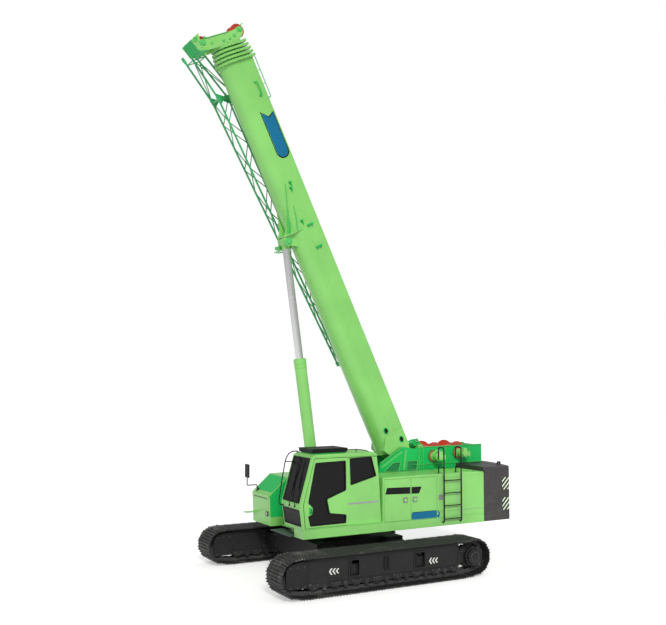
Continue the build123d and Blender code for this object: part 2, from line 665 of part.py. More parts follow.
DOOR_SLIDE = 750
DOOR_RAIL_Z = 1608
DOOR_RAIL_FRONT = DOOR_REAR + 447
DOOR_RAIL_REAR = DOOR_REAR - DOOR_SLIDE
RAIL_DEPTH = DOOR_GAP - SEAT_GAP
with BuildPart() as door_rail:
    with BuildSketch(side_at(HALF_WIDTH - CAB_DOOR_THICK - SEAT_GAP)):
        with Locations(((DOOR_RAIL_REAR + DOOR_RAIL_FRONT) / 2, DOOR_RAIL_Z)):
            Rectangle(DOOR_RAIL_FRONT - DOOR_RAIL_REAR, 34)
    extrude(amount=RAIL_DEPTH)
save(door_rail, "door_rail")

with BuildPart() as door_glass:
    with BuildSketch(side_at(HALF_WIDTH - CAB_DOOR_THICK / 2)):
        with BuildLine():
            Polyline(*DOOR_WINDOW, close=True)
        make_face()
        offset(amount=-1)
    extrude(amount=GLASS / 2, both=True)
save(door_glass, "door_glass")

CAB_MID = (CAB_INNER + HALF_WIDTH) / 2 - 20
with BuildPart() as cab_seat:
    with BuildSketch(side_at(CAB_MID)):
        with BuildLine():
            Polyline(
                (330, CAB_FLOOR + CAB_WALL), (330, 1520), (250, 1560), (170, 2180), (250, 2200),
                (400, 1660), (860, 1640), (860, 1540), (700, 1520), (700, CAB_FLOOR + CAB_WALL), close=True,
            )
        make_face()
    extrude(amount=0.277 * CAB_SPACE, both=True)
save(cab_seat, "cab_seat")

with BuildPart() as cab_console:
    with BuildSketch(Plane.XY.offset(CAB_FLOOR + CAB_WALL)):
        for side in (-1, 1):
            with Locations((640, CAB_MID + side * 0.343 * CAB_SPACE)):
                Rectangle(420, 0.108 * CAB_SPACE)
    extrude(amount=520)
    with BuildSketch(Plane.XY.offset(CAB_FLOOR + CAB_WALL)):
        with Locations((1400, CAB_MID)):
            Rectangle(110, 0.43 * CAB_SPACE)
    extrude(amount=560)
save(cab_console, "cab_console")

with BuildPart() as roof_guard:
    with BuildSketch(Plane.XY.offset(CAB_ROOF + 55)):
        with Locations(((ROOF_GUARD_X[0] + ROOF_GUARD_X[1]) / 2, CAB_MID)):
            Rectangle(ROOF_GUARD_X[1] - ROOF_GUARD_X[0], CAB_SPACE - 190)
    extrude(amount=12)
    with BuildSketch(Plane.XY.offset(CAB_ROOF)):
        for x in (ROOF_GUARD_X[0] + 60, ROOF_GUARD_X[1] - 60):
            for side in (-1, 1):
                with Locations((x, CAB_MID + side * (CAB_SPACE / 2 - 155))):
                    Circle(18)
    extrude(amount=55)
save(roof_guard, "roof_guard")

HOOP_Y = CAB_INNER + 60
HOOP_X = 1290
HOOP_FRONT = 1762
HOOP_LOW = 1600
with BuildPart() as guard_hoop:
    with BuildLine():
        FilletPolyline(
            (HOOP_X, HOOP_Y, CAB_ROOF), (HOOP_X, HOOP_Y, CAB_ROOF + 60), (1540, HOOP_Y, CAB_ROOF + 10),
            (HOOP_FRONT, HOOP_Y, 2000), (HOOP_FRONT, HOOP_Y, HOOP_LOW),
            (front_x(HOOP_LOW, -4), HOOP_Y, HOOP_LOW), radius=25,
        )
    with BuildSketch(Plane.XY.offset(CAB_ROOF)):
        with Locations((HOOP_X, HOOP_Y)):
            Circle(14)
    sweep()
save(guard_hoop, "guard_hoop")

# ================================================================== right side box and mirror
BOX_SLOPE = ((1440, 1668), (1050, 2010))
SLOPE_NORMAL = (BOX_SLOPE[1][1] - BOX_SLOPE[0][1], 0, BOX_SLOPE[0][0] - BOX_SLOPE[1][0])
BOX_STEP_Z = 1185
BOX_STEP_FRONT = 1700
with BuildPart() as right_box:
    with BuildSketch(side_at(-CENTRE_HALF - 20)):
        with BuildLine():
            Polyline(
                (BOX_FRONT, DECK_TOP), (1480, 1620), *BOX_SLOPE, (HOUSE_REAR, HOUSE_TOP - 60),
                (HOUSE_REAR, DECK_TOP), close=True,
            )
        make_face()
    extrude(amount=HALF_WIDTH - CENTRE_HALF - 20)
    chamfer(right_box.edges().filter_by(Axis.Z, tolerance=2).group_by(Axis.X)[-1].sort_by(Axis.Y)[-1], 60)
    # foot plate at the front corner, and the lip under the slope
    with BuildSketch(Plane.XY.offset(BOX_STEP_Z)):
        with Locations(((BOX_FRONT + BOX_STEP_FRONT) / 2, -HALF_WIDTH + 100)):
            Rectangle(BOX_STEP_FRONT - BOX_FRONT + 40, 200)
    extrude(amount=8)
    with BuildSketch(Plane.XY.offset(BOX_SLOPE[0][1] - 60)):
        with Locations((BOX_FRONT, -(HALF_WIDTH + CENTRE_HALF) / 2)):
            Rectangle(70, HALF_WIDTH - CENTRE_HALF - 200)
    extrude(amount=34)
save(right_box, "right_box")

MIRROR_Y = 170 - HALF_WIDTH
MIRROR_ARM_Z = 1790
MIRROR_X = 1690
MIRROR_FOOT = (1420, 1686)           # just over the box's slope
with BuildPart() as mirror:
    with BuildSketch(Plane(origin=(MIRROR_FOOT[0], MIRROR_Y, MIRROR_FOOT[1]), z_dir=SLOPE_NORMAL)):
        RectangleRounded(90, 90, 12)
    extrude(amount=8)
    with BuildLine():
        FilletPolyline(
            (MIRROR_FOOT[0] + 3, MIRROR_Y, MIRROR_FOOT[1] + 4), (MIRROR_FOOT[0] + 40, MIRROR_Y, MIRROR_ARM_Z),
            (MIRROR_X, MIRROR_Y, MIRROR_ARM_Z), (MIRROR_X, MIRROR_Y, MIRROR_ARM_Z + 450), radius=24,
        )
    with BuildSketch(Plane(origin=(MIRROR_FOOT[0] + 3, MIRROR_Y, MIRROR_FOOT[1] + 4), z_dir=(37, 0, 100))):
        Circle(11)
    sweep()
    with BuildSketch(side_at(MIRROR_Y)):
        with Locations((MIRROR_X, MIRROR_ARM_Z + 320)):
            RectangleRounded(34, 300, 14)
    extrude(amount=90, both=True)
save(mirror, "mirror")

# ================================================================== machinery housing on the left
DOORS = (                             # name, rear X, front X, hinge at the front
    ("service_door_front", -1000, -330, True),
    ("service_door_rear", -1682, -1006, False),
)
KNUCKLE_RADIUS = 10
KNUCKLE_OUT = 8                       # hinge axis outside the door's face, and in from its edge
KNUCKLE_IN = 3
KNUCKLE_LENGTH = 70
DOOR_LOW = 1172
DOOR_HIGH = 2052
HINGE_PIN = 5
HINGE_Z = (DOOR_LOW + 130, DOOR_HIGH - 130)
with BuildPart() as housing:
    with BuildSketch(Plane.XY.offset(DECK_TOP)):
        with Locations(((HOUSE_FRONT + HOUSE_REAR) / 2, (HALF_WIDTH + CENTRE_HALF + 20) / 2)):
            Rectangle(HOUSE_FRONT - HOUSE_REAR, HALF_WIDTH - CENTRE_HALF - 20)
    extrude(amount=HOUSE_TOP - DECK_TOP)
    fillet(housing.edges().filter_by(Axis.X).group_by(Axis.Z)[-1].sort_by(Axis.Y)[-1], 45)
    with BuildSketch(Plane.XY.offset(DOOR_LOW)):
        with Locations(((DOORS[0][2] + DOORS[1][1]) / 2, (HALF_WIDTH + CENTRE_HALF + 20) / 2)):
            Rectangle(DOORS[0][2] - DOORS[1][1] - 60, HALF_WIDTH - CENTRE_HALF - 20 - 2 * WALL)
    extrude(amount=DOOR_HIGH - DOOR_LOW - WALL, mode=Mode.SUBTRACT)
    with BuildSketch(side_at(HALF_WIDTH)):
        with Locations(((DOORS[0][2] + DOORS[1][1]) / 2, (DOOR_LOW + DOOR_HIGH) / 2)):
            Rectangle(DOORS[0][2] - DOORS[1][1] + 2 * DOOR_GAP, DOOR_HIGH - DOOR_LOW + 2 * DOOR_GAP)
    extrude(amount=WALL + 1, mode=Mode.SUBTRACT)
    for name, rear, front, hinge_front in DOORS:
        way = 1 if hinge_front else -1
        hinge_x = front - KNUCKLE_IN if hinge_front else rear + KNUCKLE_IN
        for z in HINGE_Z:
            with BuildSketch(Plane.XY.offset(z - KNUCKLE_LENGTH / 2 - 30)):
                with Locations((hinge_x, HALF_WIDTH + KNUCKLE_OUT)):
                    Circle(HINGE_PIN)
            extrude(amount=KNUCKLE_LENGTH + 60)
            for low in (z - KNUCKLE_LENGTH / 2 - 30, z + KNUCKLE_LENGTH / 2 + 1):
                with BuildSketch(Plane.XY.offset(low)):
                    with Locations((hinge_x, HALF_WIDTH + KNUCKLE_OUT)):
                        Circle(KNUCKLE_OUT - 1)
                    with Locations((hinge_x + way * 20, HALF_WIDTH + KNUCKLE_OUT - 3)):
                        Rectangle(40, 8)
                    with Locations((hinge_x + way * 28, HALF_WIDTH + 1)):
                        Rectangle(24, 8)
                extrude(amount=29)
save(housing, "housing")

with BuildPart() as power_block:
    with BuildSketch(Plane.XY.offset(DOOR_LOW)):
        with Locations(((DOORS[0][2] + DOORS[1][1]) / 2, (HALF_WIDTH + CENTRE_HALF) / 2 - 30)):
            Rectangle(DOORS[0][2] - DOORS[1][1] - 352, HALF_WIDTH - CENTRE_HALF - 400)
    extrude(amount=DOOR_HIGH - DOOR_LOW - 240)
save(power_block, "power_block")

for name, rear, front, hinge_front in DOORS:
    with BuildPart() as door:
        with BuildSketch(side_at(HALF_WIDTH)):
            with Locations(((front + rear) / 2, (DOOR_LOW + DOOR_HIGH) / 2)):
                Rectangle(front - rear, DOOR_HIGH - DOOR_LOW)
        extrude(amount=WALL - DOOR_GAP)
        hinge_x = front - KNUCKLE_IN if hinge_front else rear + KNUCKLE_IN
        latch_x = rear + 140 if hinge_front else front - 100
        with BuildSketch(side_at(HALF_WIDTH)):
            with Locations((latch_x, 1596)):
                Circle(38)
        extrude(amount=-16)
        for z in HINGE_Z:
            with BuildSketch(Plane.XY.offset(z - KNUCKLE_LENGTH / 2)):
                with Locations((hinge_x, HALF_WIDTH + KNUCKLE_OUT)):
                    Circle(KNUCKLE_RADIUS)
            extrude(amount=KNUCKLE_LENGTH)
            with BuildSketch(Plane.XY.offset(z - KNUCKLE_LENGTH / 2)):
                with Locations((hinge_x, HALF_WIDTH + KNUCKLE_OUT)):
                    Circle(HINGE_PIN + RUN_GAP)
            extrude(amount=KNUCKLE_LENGTH, mode=Mode.SUBTRACT)
    save(door, name)

# ================================================================== counterweight
WEIGHT_CHAMFER = 30
WEIGHT_EYE_X = WEIGHT_SIDE_REAR - 35
WEIGHT_EYE_Y = HALF_WIDTH - 400
WEIGHT_EYE_THICK = 24
WEIGHT_EYE_SIZE = 90
WEIGHT_EYE_RISE = 20                 # of the lifting eye's plate over the top face
WEIGHT_EYE_HOLE = 22
with BuildPart() as counterweight:
    with BuildSketch(Plane.XY.offset(DECK_BOTTOM + 4)):
        with BuildLine():
            Line((HOUSE_REAR - SEAT_GAP, -HALF_WIDTH), (HOUSE_REAR - SEAT_GAP, HALF_WIDTH))
            Line((HOUSE_REAR - SEAT_GAP, HALF_WIDTH), (WEIGHT_SIDE_REAR, HALF_WIDTH))
            ThreePointArc((WEIGHT_SIDE_REAR, HALF_WIDTH), (-TAIL_RADIUS, 0), (WEIGHT_SIDE_REAR, -HALF_WIDTH))
            Line((WEIGHT_SIDE_REAR, -HALF_WIDTH), (HOUSE_REAR - SEAT_GAP, -HALF_WIDTH))
        make_face()
    extrude(amount=WEIGHT_TOP - DECK_BOTTOM - 4)
    chamfer(counterweight.edges().filter_by(Axis.X).group_by(Axis.Z)[-1], WEIGHT_CHAMFER)
    for side in (-1, 1):
        with BuildSketch(side_at(side * WEIGHT_EYE_Y)):
            with Locations((WEIGHT_EYE_X, WEIGHT_TOP + WEIGHT_EYE_RISE)):
                Rectangle(WEIGHT_EYE_SIZE, WEIGHT_EYE_SIZE)
            with Locations((WEIGHT_EYE_X, WEIGHT_TOP + WEIGHT_EYE_RISE + 8)):
                Circle(WEIGHT_EYE_HOLE, mode=Mode.SUBTRACT)
        extrude(amount=WEIGHT_EYE_THICK / 2, both=True)
save(counterweight, "counterweight")

# ================================================================== winch frame and winches
WINCH_PLATE = 16
WINCH_HALF = CHEEK_Y + CHEEK_THICK + WINCH_PLATE
WINCH_TOP = 2605
WINCH_FOOT = 1500                    # how far down the plates reach between housing and deck plates
WINCH_FRONT_Z = 2290
WINCH_REAR = WEIGHT_SIDE_REAR - 10
WINCH_Z = 2440
WINCH_FLANGE = 252
MOTOR_RADIUS = 90
SHAFT_RADIUS = 55
WINCHES = (("winch_drum_front", -2400), ("winch_drum_rear", -3050))
FRAME_FOOT = WEIGHT_TOP + 4
LEG_FLANGE = 46                    # width of the flange over each front leg
WINCH_WINDOWS = (
    ((-985, HOUSE_TOP + 8), (-1190, 2270), (-1390, 2288), (-1350, HOUSE_TOP + 8)),
    ((-1570, HOUSE_TOP + 8), (-1580, 2296), (-1860, 2290), (-1835, HOUSE_TOP + 8)),
)
with BuildPart() as winch_frame:
    for side in (-1, 1):
        with BuildSketch(side_at(side * (WINCH_HALF - WINCH_PLATE / 2))):
            with BuildLine():
                Polyline(
                    (HOUSE_REAR + 10, WINCH_FOOT), (HOUSE_REAR + 10, FRAME_FOOT),
                    (WINCH_REAR, FRAME_FOOT), (WINCH_REAR, WINCH_TOP + 8), (-1860, WINCH_TOP),
                    (-1830, WINCH_TOP - 42), (-1500, WINCH_TOP + 12), (-1420, WINCH_TOP + 12),
                    (-860, WINCH_FRONT_Z), (-850, HOUSE_TOP), (-1000, WINCH_FOOT), close=True,
                )
            make_face()
            for window in WINCH_WINDOWS:
                with BuildLine():
                    Polyline(*window, close=True)
                make_face(mode=Mode.SUBTRACT)
        extrude(amount=WINCH_PLATE / 2, both=True)
        # the front legs' flange, square to the side plates
        with BuildSketch(side_at(side * (WINCH_HALF - WINCH_PLATE / 2))):
            with BuildLine():
                Polyline(
                    (-860, WINCH_FRONT_Z), (-1420, WINCH_TOP + 12), (-1434, WINCH_TOP - 2),
                    (-868, WINCH_FRONT_Z - 16), close=True,
                )
            make_face()
        extrude(amount=LEG_FLANGE / 2, both=True)
    with BuildSketch(Plane.XY.offset(FRAME_FOOT)):
        with Locations((WINCH_REAR + 8, 0)):
            Rectangle(16, 2 * WINCH_HALF)
        with Locations(((WINCHES[0][1] + WINCHES[1][1]) / 2, 0)):
            Rectangle(16, 2 * WINCH_HALF)
    extrude(amount=WINCH_TOP - FRAME_FOOT - 20)
    with BuildSketch(Plane.XY.offset(HOUSE_TOP)):
        with Locations(((WINCHES[0][1] + WINCHES[1][1]) / 2, 0)):
            Rectangle(16, 2 * WINCH_HALF)
    extrude(amount=FRAME_FOOT - HOUSE_TOP)
    with BuildSketch(Plane.XY.offset(HOUSE_TOP)):
        with Locations(((HOUSE_REAR + 10 - 1960) / 2, 0)):
            Rectangle(-1960 - HOUSE_REAR - 10, 2 * (CHEEK_Y - SEAT_GAP))
    extrude(amount=12)
    for name, x in WINCHES:
        with BuildSketch(side_at(0)):
            with Locations((x, WINCH_Z)):
                Circle(MOTOR_RADIUS)
        extrude(amount=WINCH_HALF + 20, both=True, mode=Mode.SUBTRACT)
save(winch_frame, "winch_frame")

DRUM_HALF = WINCH_HALF - WINCH_PLATE - 66
with BuildPart() as winch_motors:
    for name, x in WINCHES:
        for side, length in ((1, 130), (-1, 90)):
            with BuildSketch(side_at(side * (DRUM_HALF + 6))):
                with Locations((x, WINCH_Z)):
                    Circle(MOTOR_RADIUS - SEAT_GAP)
            extrude(amount=-side * length)
            with BuildSketch(side_at(side * (DRUM_HALF - 80))):
                with Locations((x, WINCH_Z)):
                    Circle(SHAFT_RADIUS)
            extrude(amount=-side * 100)
save(winch_motors, "winch_motors")

for name, x in WINCHES:
    with BuildPart() as drum:
        with BuildSketch(side_at(0)):
            with Locations((x, WINCH_Z)):
                Circle(165)
        extrude(amount=DRUM_HALF, both=True)
        for side in (-1, 1):
            with BuildSketch(side_at(side * (DRUM_HALF - 9))):
                with Locations((x, WINCH_Z)):
                    Circle(WINCH_FLANGE)
            extrude(amount=9, both=True)
            with BuildSketch(side_at(side * (DRUM_HALF - 90))):
                with Locations((x, WINCH_Z)):
                    Circle(SHAFT_RADIUS + RUN_GAP)
            extrude(amount=-side * 100, mode=Mode.SUBTRACT)
    save(drum, name)

with BuildPart() as valve_block:
    with BuildSketch(Plane.XY.offset(HOUSE_TOP + 12)):
        with Locations((-2050, 0)):
            Rectangle(140, 420)
    extrude(amount=540)
save(valve_block, "valve_block")

# ================================================================== ladder and handrail
LADDER_Y = HALF_WIDTH + 68
LADDER_X = (-2295, -1830)
RAIL_RADIUS_LADDER = 15
RUNGS = (1126, 1411, 1682, 1953)
LADDER_TOP = 2660
HOOK_Z = 2240
HOOK_REACH = 200
with BuildPart() as ladder:
    for x in LADDER_X:
        with BuildLine():
            FilletPolyline(
                (x, HALF_WIDTH, 1060), (x, LADDER_Y, 1060), (x, LADDER_Y, LADDER_TOP),
                (x, LADDER_Y - HOOK_REACH, LADDER_TOP), (x, LADDER_Y - HOOK_REACH, LADDER_TOP - 260),
                radius=40,
            )
        with BuildSketch(Plane.XZ.offset(-HALF_WIDTH)):
            with Locations((x, 1060)):
                Circle(RAIL_RADIUS_LADDER)
        sweep()
        with BuildLine():
            FilletPolyline(
                (x, LADDER_Y, HOOK_Z), (x, LADDER_Y - HOOK_REACH, HOOK_Z),
                (x, LADDER_Y - HOOK_REACH, HOUSE_TOP), radius=40,
            )
        with BuildSketch(Plane.XZ.offset(-LADDER_Y)):
            with Locations((x, HOOK_Z)):
                Circle(RAIL_RADIUS_LADDER - 1)
        sweep()
    with BuildSketch(Plane.YZ.offset(LADDER_X[0])):
        for z in RUNGS:
            with Locations((LADDER_Y, z)):
                Circle(12)
    extrude(amount=LADDER_X[1] - LADDER_X[0])
save(ladder, "ladder")

# ================================================================== boom
def section_size(k):
    """Half width, top n and bottom n of section k, where 0 is the base section."""
    return (BASE_HALF - k * STEP_SIDE, BASE_TOP - k * STEP_FACE, BASE_BOTTOM + k * STEP_FACE)


def tube_outline(half, top, bottom, grow=0.0):
    """Boom section: flat top with rounded corners, upright sides and a round belly."""
    half = half + grow
    top = top + grow
    bottom = bottom - grow
    with BuildSketch(mode=Mode.PRIVATE) as outline:
        with BuildLine():
            Line((-half, bottom + half), (-half, top))
            Line((-half, top), (half, top))
            Line((half, top), (half, bottom + half))
            ThreePointArc((half, bottom + half), (0, bottom), (-half, bottom + half))
        make_face()
    return outline.sketch


def section_reach(k):
    """s where section k ends, at its collar's outer face."""
    return BASE_END + k * COLLAR_PITCH


FOOT_PLATE = 16
FOOT_OUTLINE = (
    (-130, -80), (-60, -150), (420, BASE_BOTTOM + 30), (700, BASE_BOTTOM + 200),
    (700, BASE_TOP - 40), (300, BASE_TOP - 20), (-60, 140), (-130, 80),
)
LUG_INNER = 135
LUG_THICK = 30
LUG_OUTLINE = (
    (CYL_TOP_S - 230, BASE_BOTTOM + 110), (CYL_TOP_S - 110, CYL_TOP_N + 20),
    (CYL_TOP_S - 100, CYL_TOP_N - 60), (CYL_TOP_S - 50, CYL_TOP_N - 100),
    (CYL_TOP_S + 60, CYL_TOP_N - 90), (CYL_TOP_S + 140, CYL_TOP_N - 45),
    (CYL_TOP_S + 250, CYL_TOP_N + 40), (CYL_TOP_S + 420, CYL_TOP_N + 110),
    (CYL_TOP_S + 1000, BASE_BOTTOM + 110),
)
SADDLE_S = CYL_TOP_S + 117         # plate square to the boom, just ahead of the rod's eye
SADDLE_THICK = 25
SADDLE_HALF = BASE_HALF + 15
SADDLE_LOW = CYL_TOP_N - 45
SADDLE_HIGH = BASE_BOTTOM + BASE_HALF + 6
SECTION_NAMES = ("boom_base", "boom_section_2", "boom_section_3", "boom_section_4", "boom_section_5")
for k, name in enumerate(SECTION_NAMES):
    half, top, bottom = section_size(k)
    start = BASE_START + k * 60
    end = section_reach(k)
    with BuildPart() as tube:
        with BuildSketch(boom_section_plane(start)):
            add(tube_outline(half, top, bottom))
        extrude(amount=end - start)
        with BuildSketch(boom_section_plane(end - COLLAR_LENGTH)):
            add(tube_outline(half, top, bottom, COLLAR_OUT + k * COLLAR_GROW))
        extrude(amount=COLLAR_LENGTH)
        if k == 0:
            with BuildSketch(boom_side_at(0)):
                with BuildLine():
                    Polyline(*FOOT_OUTLINE, close=True)
                make_face()
            extrude(amount=BASE_HALF + FOOT_PLATE, both=True)
        with BuildSketch(boom_section_plane(start)):
            add(tube_outline(half, top, bottom, -PLATE))
        extrude(amount=end - start, mode=Mode.SUBTRACT)
        if k == 0:
            with BuildSketch(boom_side_at(0)):
                with Locations((0, (BASE_TOP + BASE_BOTTOM) / 2)):
                    Rectangle(2 * start + 100, BASE_TOP - BASE_BOTTOM)
            extrude(amount=half - 2 * PLATE, both=True, mode=Mode.SUBTRACT)
            with BuildSketch(boom_side_at(0)):
                Circle(PIN_RADIUS + RUN_GAP)
            extrude(amount=BASE_HALF + 2 * FOOT_PLATE, both=True, mode=Mode.SUBTRACT)
            for side in (-1, 1):
                with BuildSketch(boom_side_at(side * (LUG_INNER + LUG_THICK / 2))):
                    with BuildLine():
                        Polyline(*LUG_OUTLINE, close=True)
                    make_face()
                extrude(amount=LUG_THICK / 2, both=True)
            with BuildSketch(boom_section_plane(SADDLE_S)):
                with BuildLine():
                    Polyline(
                        (-SADDLE_HALF, SADDLE_HIGH), (SADDLE_HALF, SADDLE_HIGH),
                        (SADDLE_HALF, SADDLE_LOW + 150), (SADDLE_HALF - 90, SADDLE_LOW),
                        (90 - SADDLE_HALF, SADDLE_LOW), (-SADDLE_HALF, SADDLE_LOW + 150), close=True,
                    )
                make_face()
            extrude(amount=SADDLE_THICK)
            with BuildSketch(boom_section_plane(start)):
                add(tube_outline(half, top, bottom, -PLATE))
            extrude(amount=end - start, mode=Mode.SUBTRACT)
            with BuildSketch(boom_side_at(0)):
                with Locations((CYL_TOP_S, CYL_TOP_N)):
                    Circle(PIN_RADIUS)
            extrude(amount=LUG_INNER + LUG_THICK + 20, both=True)
        if k + 1 < SECTIONS:
            # wear pads inside the collar, on which the next section runs
            inner_half, inner_top, inner_bottom = section_size(k + 1)
            with BuildSketch(boom_section_plane(end - 220)):
                for side in (-1, 1):
                    with Locations((side * (half - PLATE + inner_half + PAD_GAP) / 2, (top + bottom) / 2)):
                        Rectangle(half - PLATE - inner_half - PAD_GAP, 160)
                    with Locations((side * inner_half * 0.6, (top - PLATE + inner_top + PAD_GAP) / 2)):
                        Rectangle(100, top - PLATE - inner_top - PAD_GAP)
                with Locations((0, (bottom + PLATE + inner_bottom - PAD_GAP) / 2)):
                    Rectangle(60, inner_bottom - bottom - PLATE - PAD_GAP)
            extrude(amount=210)
    save(tube, name)

# ---------------------------------------------------------------- boom head
HEAD_HALF = 250
HEAD_PLATE = 22
HEAD_START = section_reach(SECTIONS - 1)
HEAD_OUTLINE = (
    (1, 100), (43, 138), (133, 240), (200, 262), (262, 245), (290, 190), (255, 100), (235, -88),
    (242, -652), (251, -769), (387, -755), (293, -966), (46, -888), (1, -660),
)
TOP_SHEAVE = (HEAD_START + 228, 197)
SHEAVE_PIN = 30
SHEAVE_RADIUS = 155
HEAD_EYE = (HEAD_START + 285, -870)        # where a fly jib is pinned
HEAD_EYE_RADIUS = 25
LOW_SHEAVE = (HEAD_START + 180, -733)
with BuildPart() as boom_head:
    for side in (-1, 1):
        with BuildSketch(boom_side_at(side * (HEAD_HALF - HEAD_PLATE / 2))):
            with BuildLine():
                Polyline(*[(HEAD_START + s, n) for s, n in HEAD_OUTLINE], close=True)
            make_face()
        extrude(amount=HEAD_PLATE / 2, both=True)
    with BuildSketch(boom_side_at(0)):
        with BuildLine():
            Polyline(*[(HEAD_START + s, n) for s, n in ((0, -500), (0, 120), (60, 120), (60, -500))],
                     close=True)
        make_face()
        with Locations(LOW_SHEAVE, TOP_SHEAVE):
            Circle(SHEAVE_PIN)
    extrude(amount=HEAD_HALF, both=True)
    with BuildSketch(boom_side_at(0)):
        with Locations(HEAD_EYE):
            Circle(HEAD_EYE_RADIUS)
    extrude(amount=HEAD_HALF, both=True, mode=Mode.SUBTRACT)
save(boom_head, "boom_head")

with BuildPart() as head_sheaves:
    for y in (-150, -50, 50, 150):
        with BuildSketch(boom_side_at(y)):
            with Locations(LOW_SHEAVE):
                Circle(SHEAVE_RADIUS)
                Circle(SHEAVE_PIN + RUN_GAP, mode=Mode.SUBTRACT)
        extrude(amount=24, both=True)
save(head_sheaves, "head_sheaves")

with BuildPart() as guide_sheaves:
    for y in (-110, 110):
        with BuildSketch(boom_side_at(y)):
            with Locations(TOP_SHEAVE):
                Circle(SHEAVE_RADIUS)
                Circle(SHEAVE_PIN + RUN_GAP, mode=Mode.SUBTRACT)
        extrude(amount=24, both=True)
save(guide_sheaves, "guide_sheaves")

# ---------------------------------------------------------------- boom foot pin, luffing cylinder
with BuildPart() as foot_pin:
    with BuildSketch(side_at(0)):
        with Locations((PIVOT_X, PIVOT_Z)):
            Circle(PIN_RADIUS)
    extrude(amount=CHEEK_Y + CHEEK_THICK - SEAT_GAP, both=True)
save(foot_pin, "foot_pin")

ROD_PIN = boom_point(CYL_TOP_S, CYL_TOP_N)
CYL_X = ROD_PIN[0] - CYL_FOOT_X
CYL_Z = ROD_PIN[2] - CYL_FOOT_Z
CYL_LENGTH = hypot(CYL_X, CYL_Z)
CYL_PLANE = Plane(origin=(CYL_FOOT_X, 0, CYL_FOOT_Z), x_dir=(CYL_X, 0, CYL_Z), z_dir=(0, -1, 0))


def cylinder_section(distance):
    """Plane square to the luffing cylinder, this far from its foot pin."""
    share = distance / CYL_LENGTH
    return Plane(
        origin=(CYL_FOOT_X + CYL_X * share, 0, CYL_FOOT_Z + CYL_Z * share),
        x_dir=(0, 1, 0), z_dir=(CYL_X, 0, CYL_Z),
    )


with BuildPart() as luff_barrel:
    with BuildSketch(cylinder_section(60)):
        Circle(BARREL_RADIUS)
    extrude(amount=BARREL_LENGTH - 60)
    with BuildSketch(CYL_PLANE):
        Circle(EYE_RADIUS + 15)
    extrude(amount=110, both=True)
    with BuildSketch(CYL_PLANE):
        Circle(PIN_RADIUS - SEAT_GAP)
    extrude(amount=CHEEK_Y - 5, both=True)
    with BuildSketch(cylinder_section(200)):
        Circle(ROD_RADIUS + SEAT_GAP)
    extrude(amount=BARREL_LENGTH, mode=Mode.SUBTRACT)
save(luff_barrel, "luff_barrel")

ROD_BACK = 260                     # how far the rod's tail stays ahead of the foot pin, closed
ROD_TRAVEL = 2400
with BuildPart() as luff_rod:
    with BuildSketch(cylinder_section(ROD_BACK + ROD_TRAVEL)):
        Circle(ROD_RADIUS)
    extrude(amount=CYL_LENGTH - ROD_BACK - ROD_TRAVEL)
    with BuildSketch(CYL_PLANE):
        with Locations((CYL_LENGTH, 0)):
            Circle(EYE_RADIUS)
    extrude(amount=85, both=True)
    with BuildSketch(CYL_PLANE):
        with Locations((CYL_LENGTH, 0)):
            Circle(PIN_RADIUS + RUN_GAP)
    extrude(amount=EYE_RADIUS, both=True, mode=Mode.SUBTRACT)
save(luff_rod, "luff_rod")

# ---------------------------------------------------------------- lattice fly jib, stowed beside the boom
JIB_STATIONS = (                      # s, lower n, height, near y, far y
    (10020, -790, 300, -430, -800),
    (8980, -556, 400, -430, -770),
    (2520, -290, 140, -395, -520),
)
CHORD_RADIUS = 22
LACE_RADIUS = 11
BAYS = 12


def jib_corner(share, high, far):
    """Corner of the long tapered body, at a share of its length from the head end."""
    s0, n0, h0, near0, far0 = JIB_STATIONS[1]
    s1, n1, h1, near1, far1 = JIB_STATIONS[2]
    s = s0 + share * (s1 - s0)
    n = n0 + share * (n1 - n0) + (h0 + share * (h1 - h0) if high else 0)
    y = (far0 + share * (far1 - far0)) if far else (near0 + share * (near1 - near0))
    return boom_point(s, n, y)


struts = []                           # (start, end, radius)
for high in (False, True):
    for far in (False, True):
        s, n, h, near, away = JIB_STATIONS[0]
        foot = boom_point(s, n + (h if high else 0), away if far else near)
        struts.append((jib_corner(0, high, far), jib_corner(1, high, far), CHORD_RADIUS))
        struts.append((jib_corner(0, high, far), foot, CHORD_RADIUS))
for bay in range(BAYS):
    a = bay / BAYS
    b = (bay + 1) / BAYS
    flip = bay % 2 == 0
    for high in (False, True):
        struts.append((jib_corner(a, high, flip), jib_corner(b, high, not flip), LACE_RADIUS))
    for far in (False, True):
        struts.append((jib_corner(a, flip, far), jib_corner(b, not flip, far), LACE_RADIUS))
for share in (0.0, 1.0):
    for high in (False, True):
        struts.append((jib_corner(share, high, False), jib_corner(share, high, True), CHORD_RADIUS))
    for far in (False, True):
        struts.append((jib_corner(share, False, far), jib_corner(share, True, far), CHORD_RADIUS))

with BuildPart() as fly_jib:
    for start, end, radius in struts:
        direction = Vector(*end) - Vector(*start)
        with BuildSketch(Plane(origin=start, z_dir=direction)):
            Circle(radius)
        extrude(amount=direction.length)
save(fly_jib, "fly_jib")

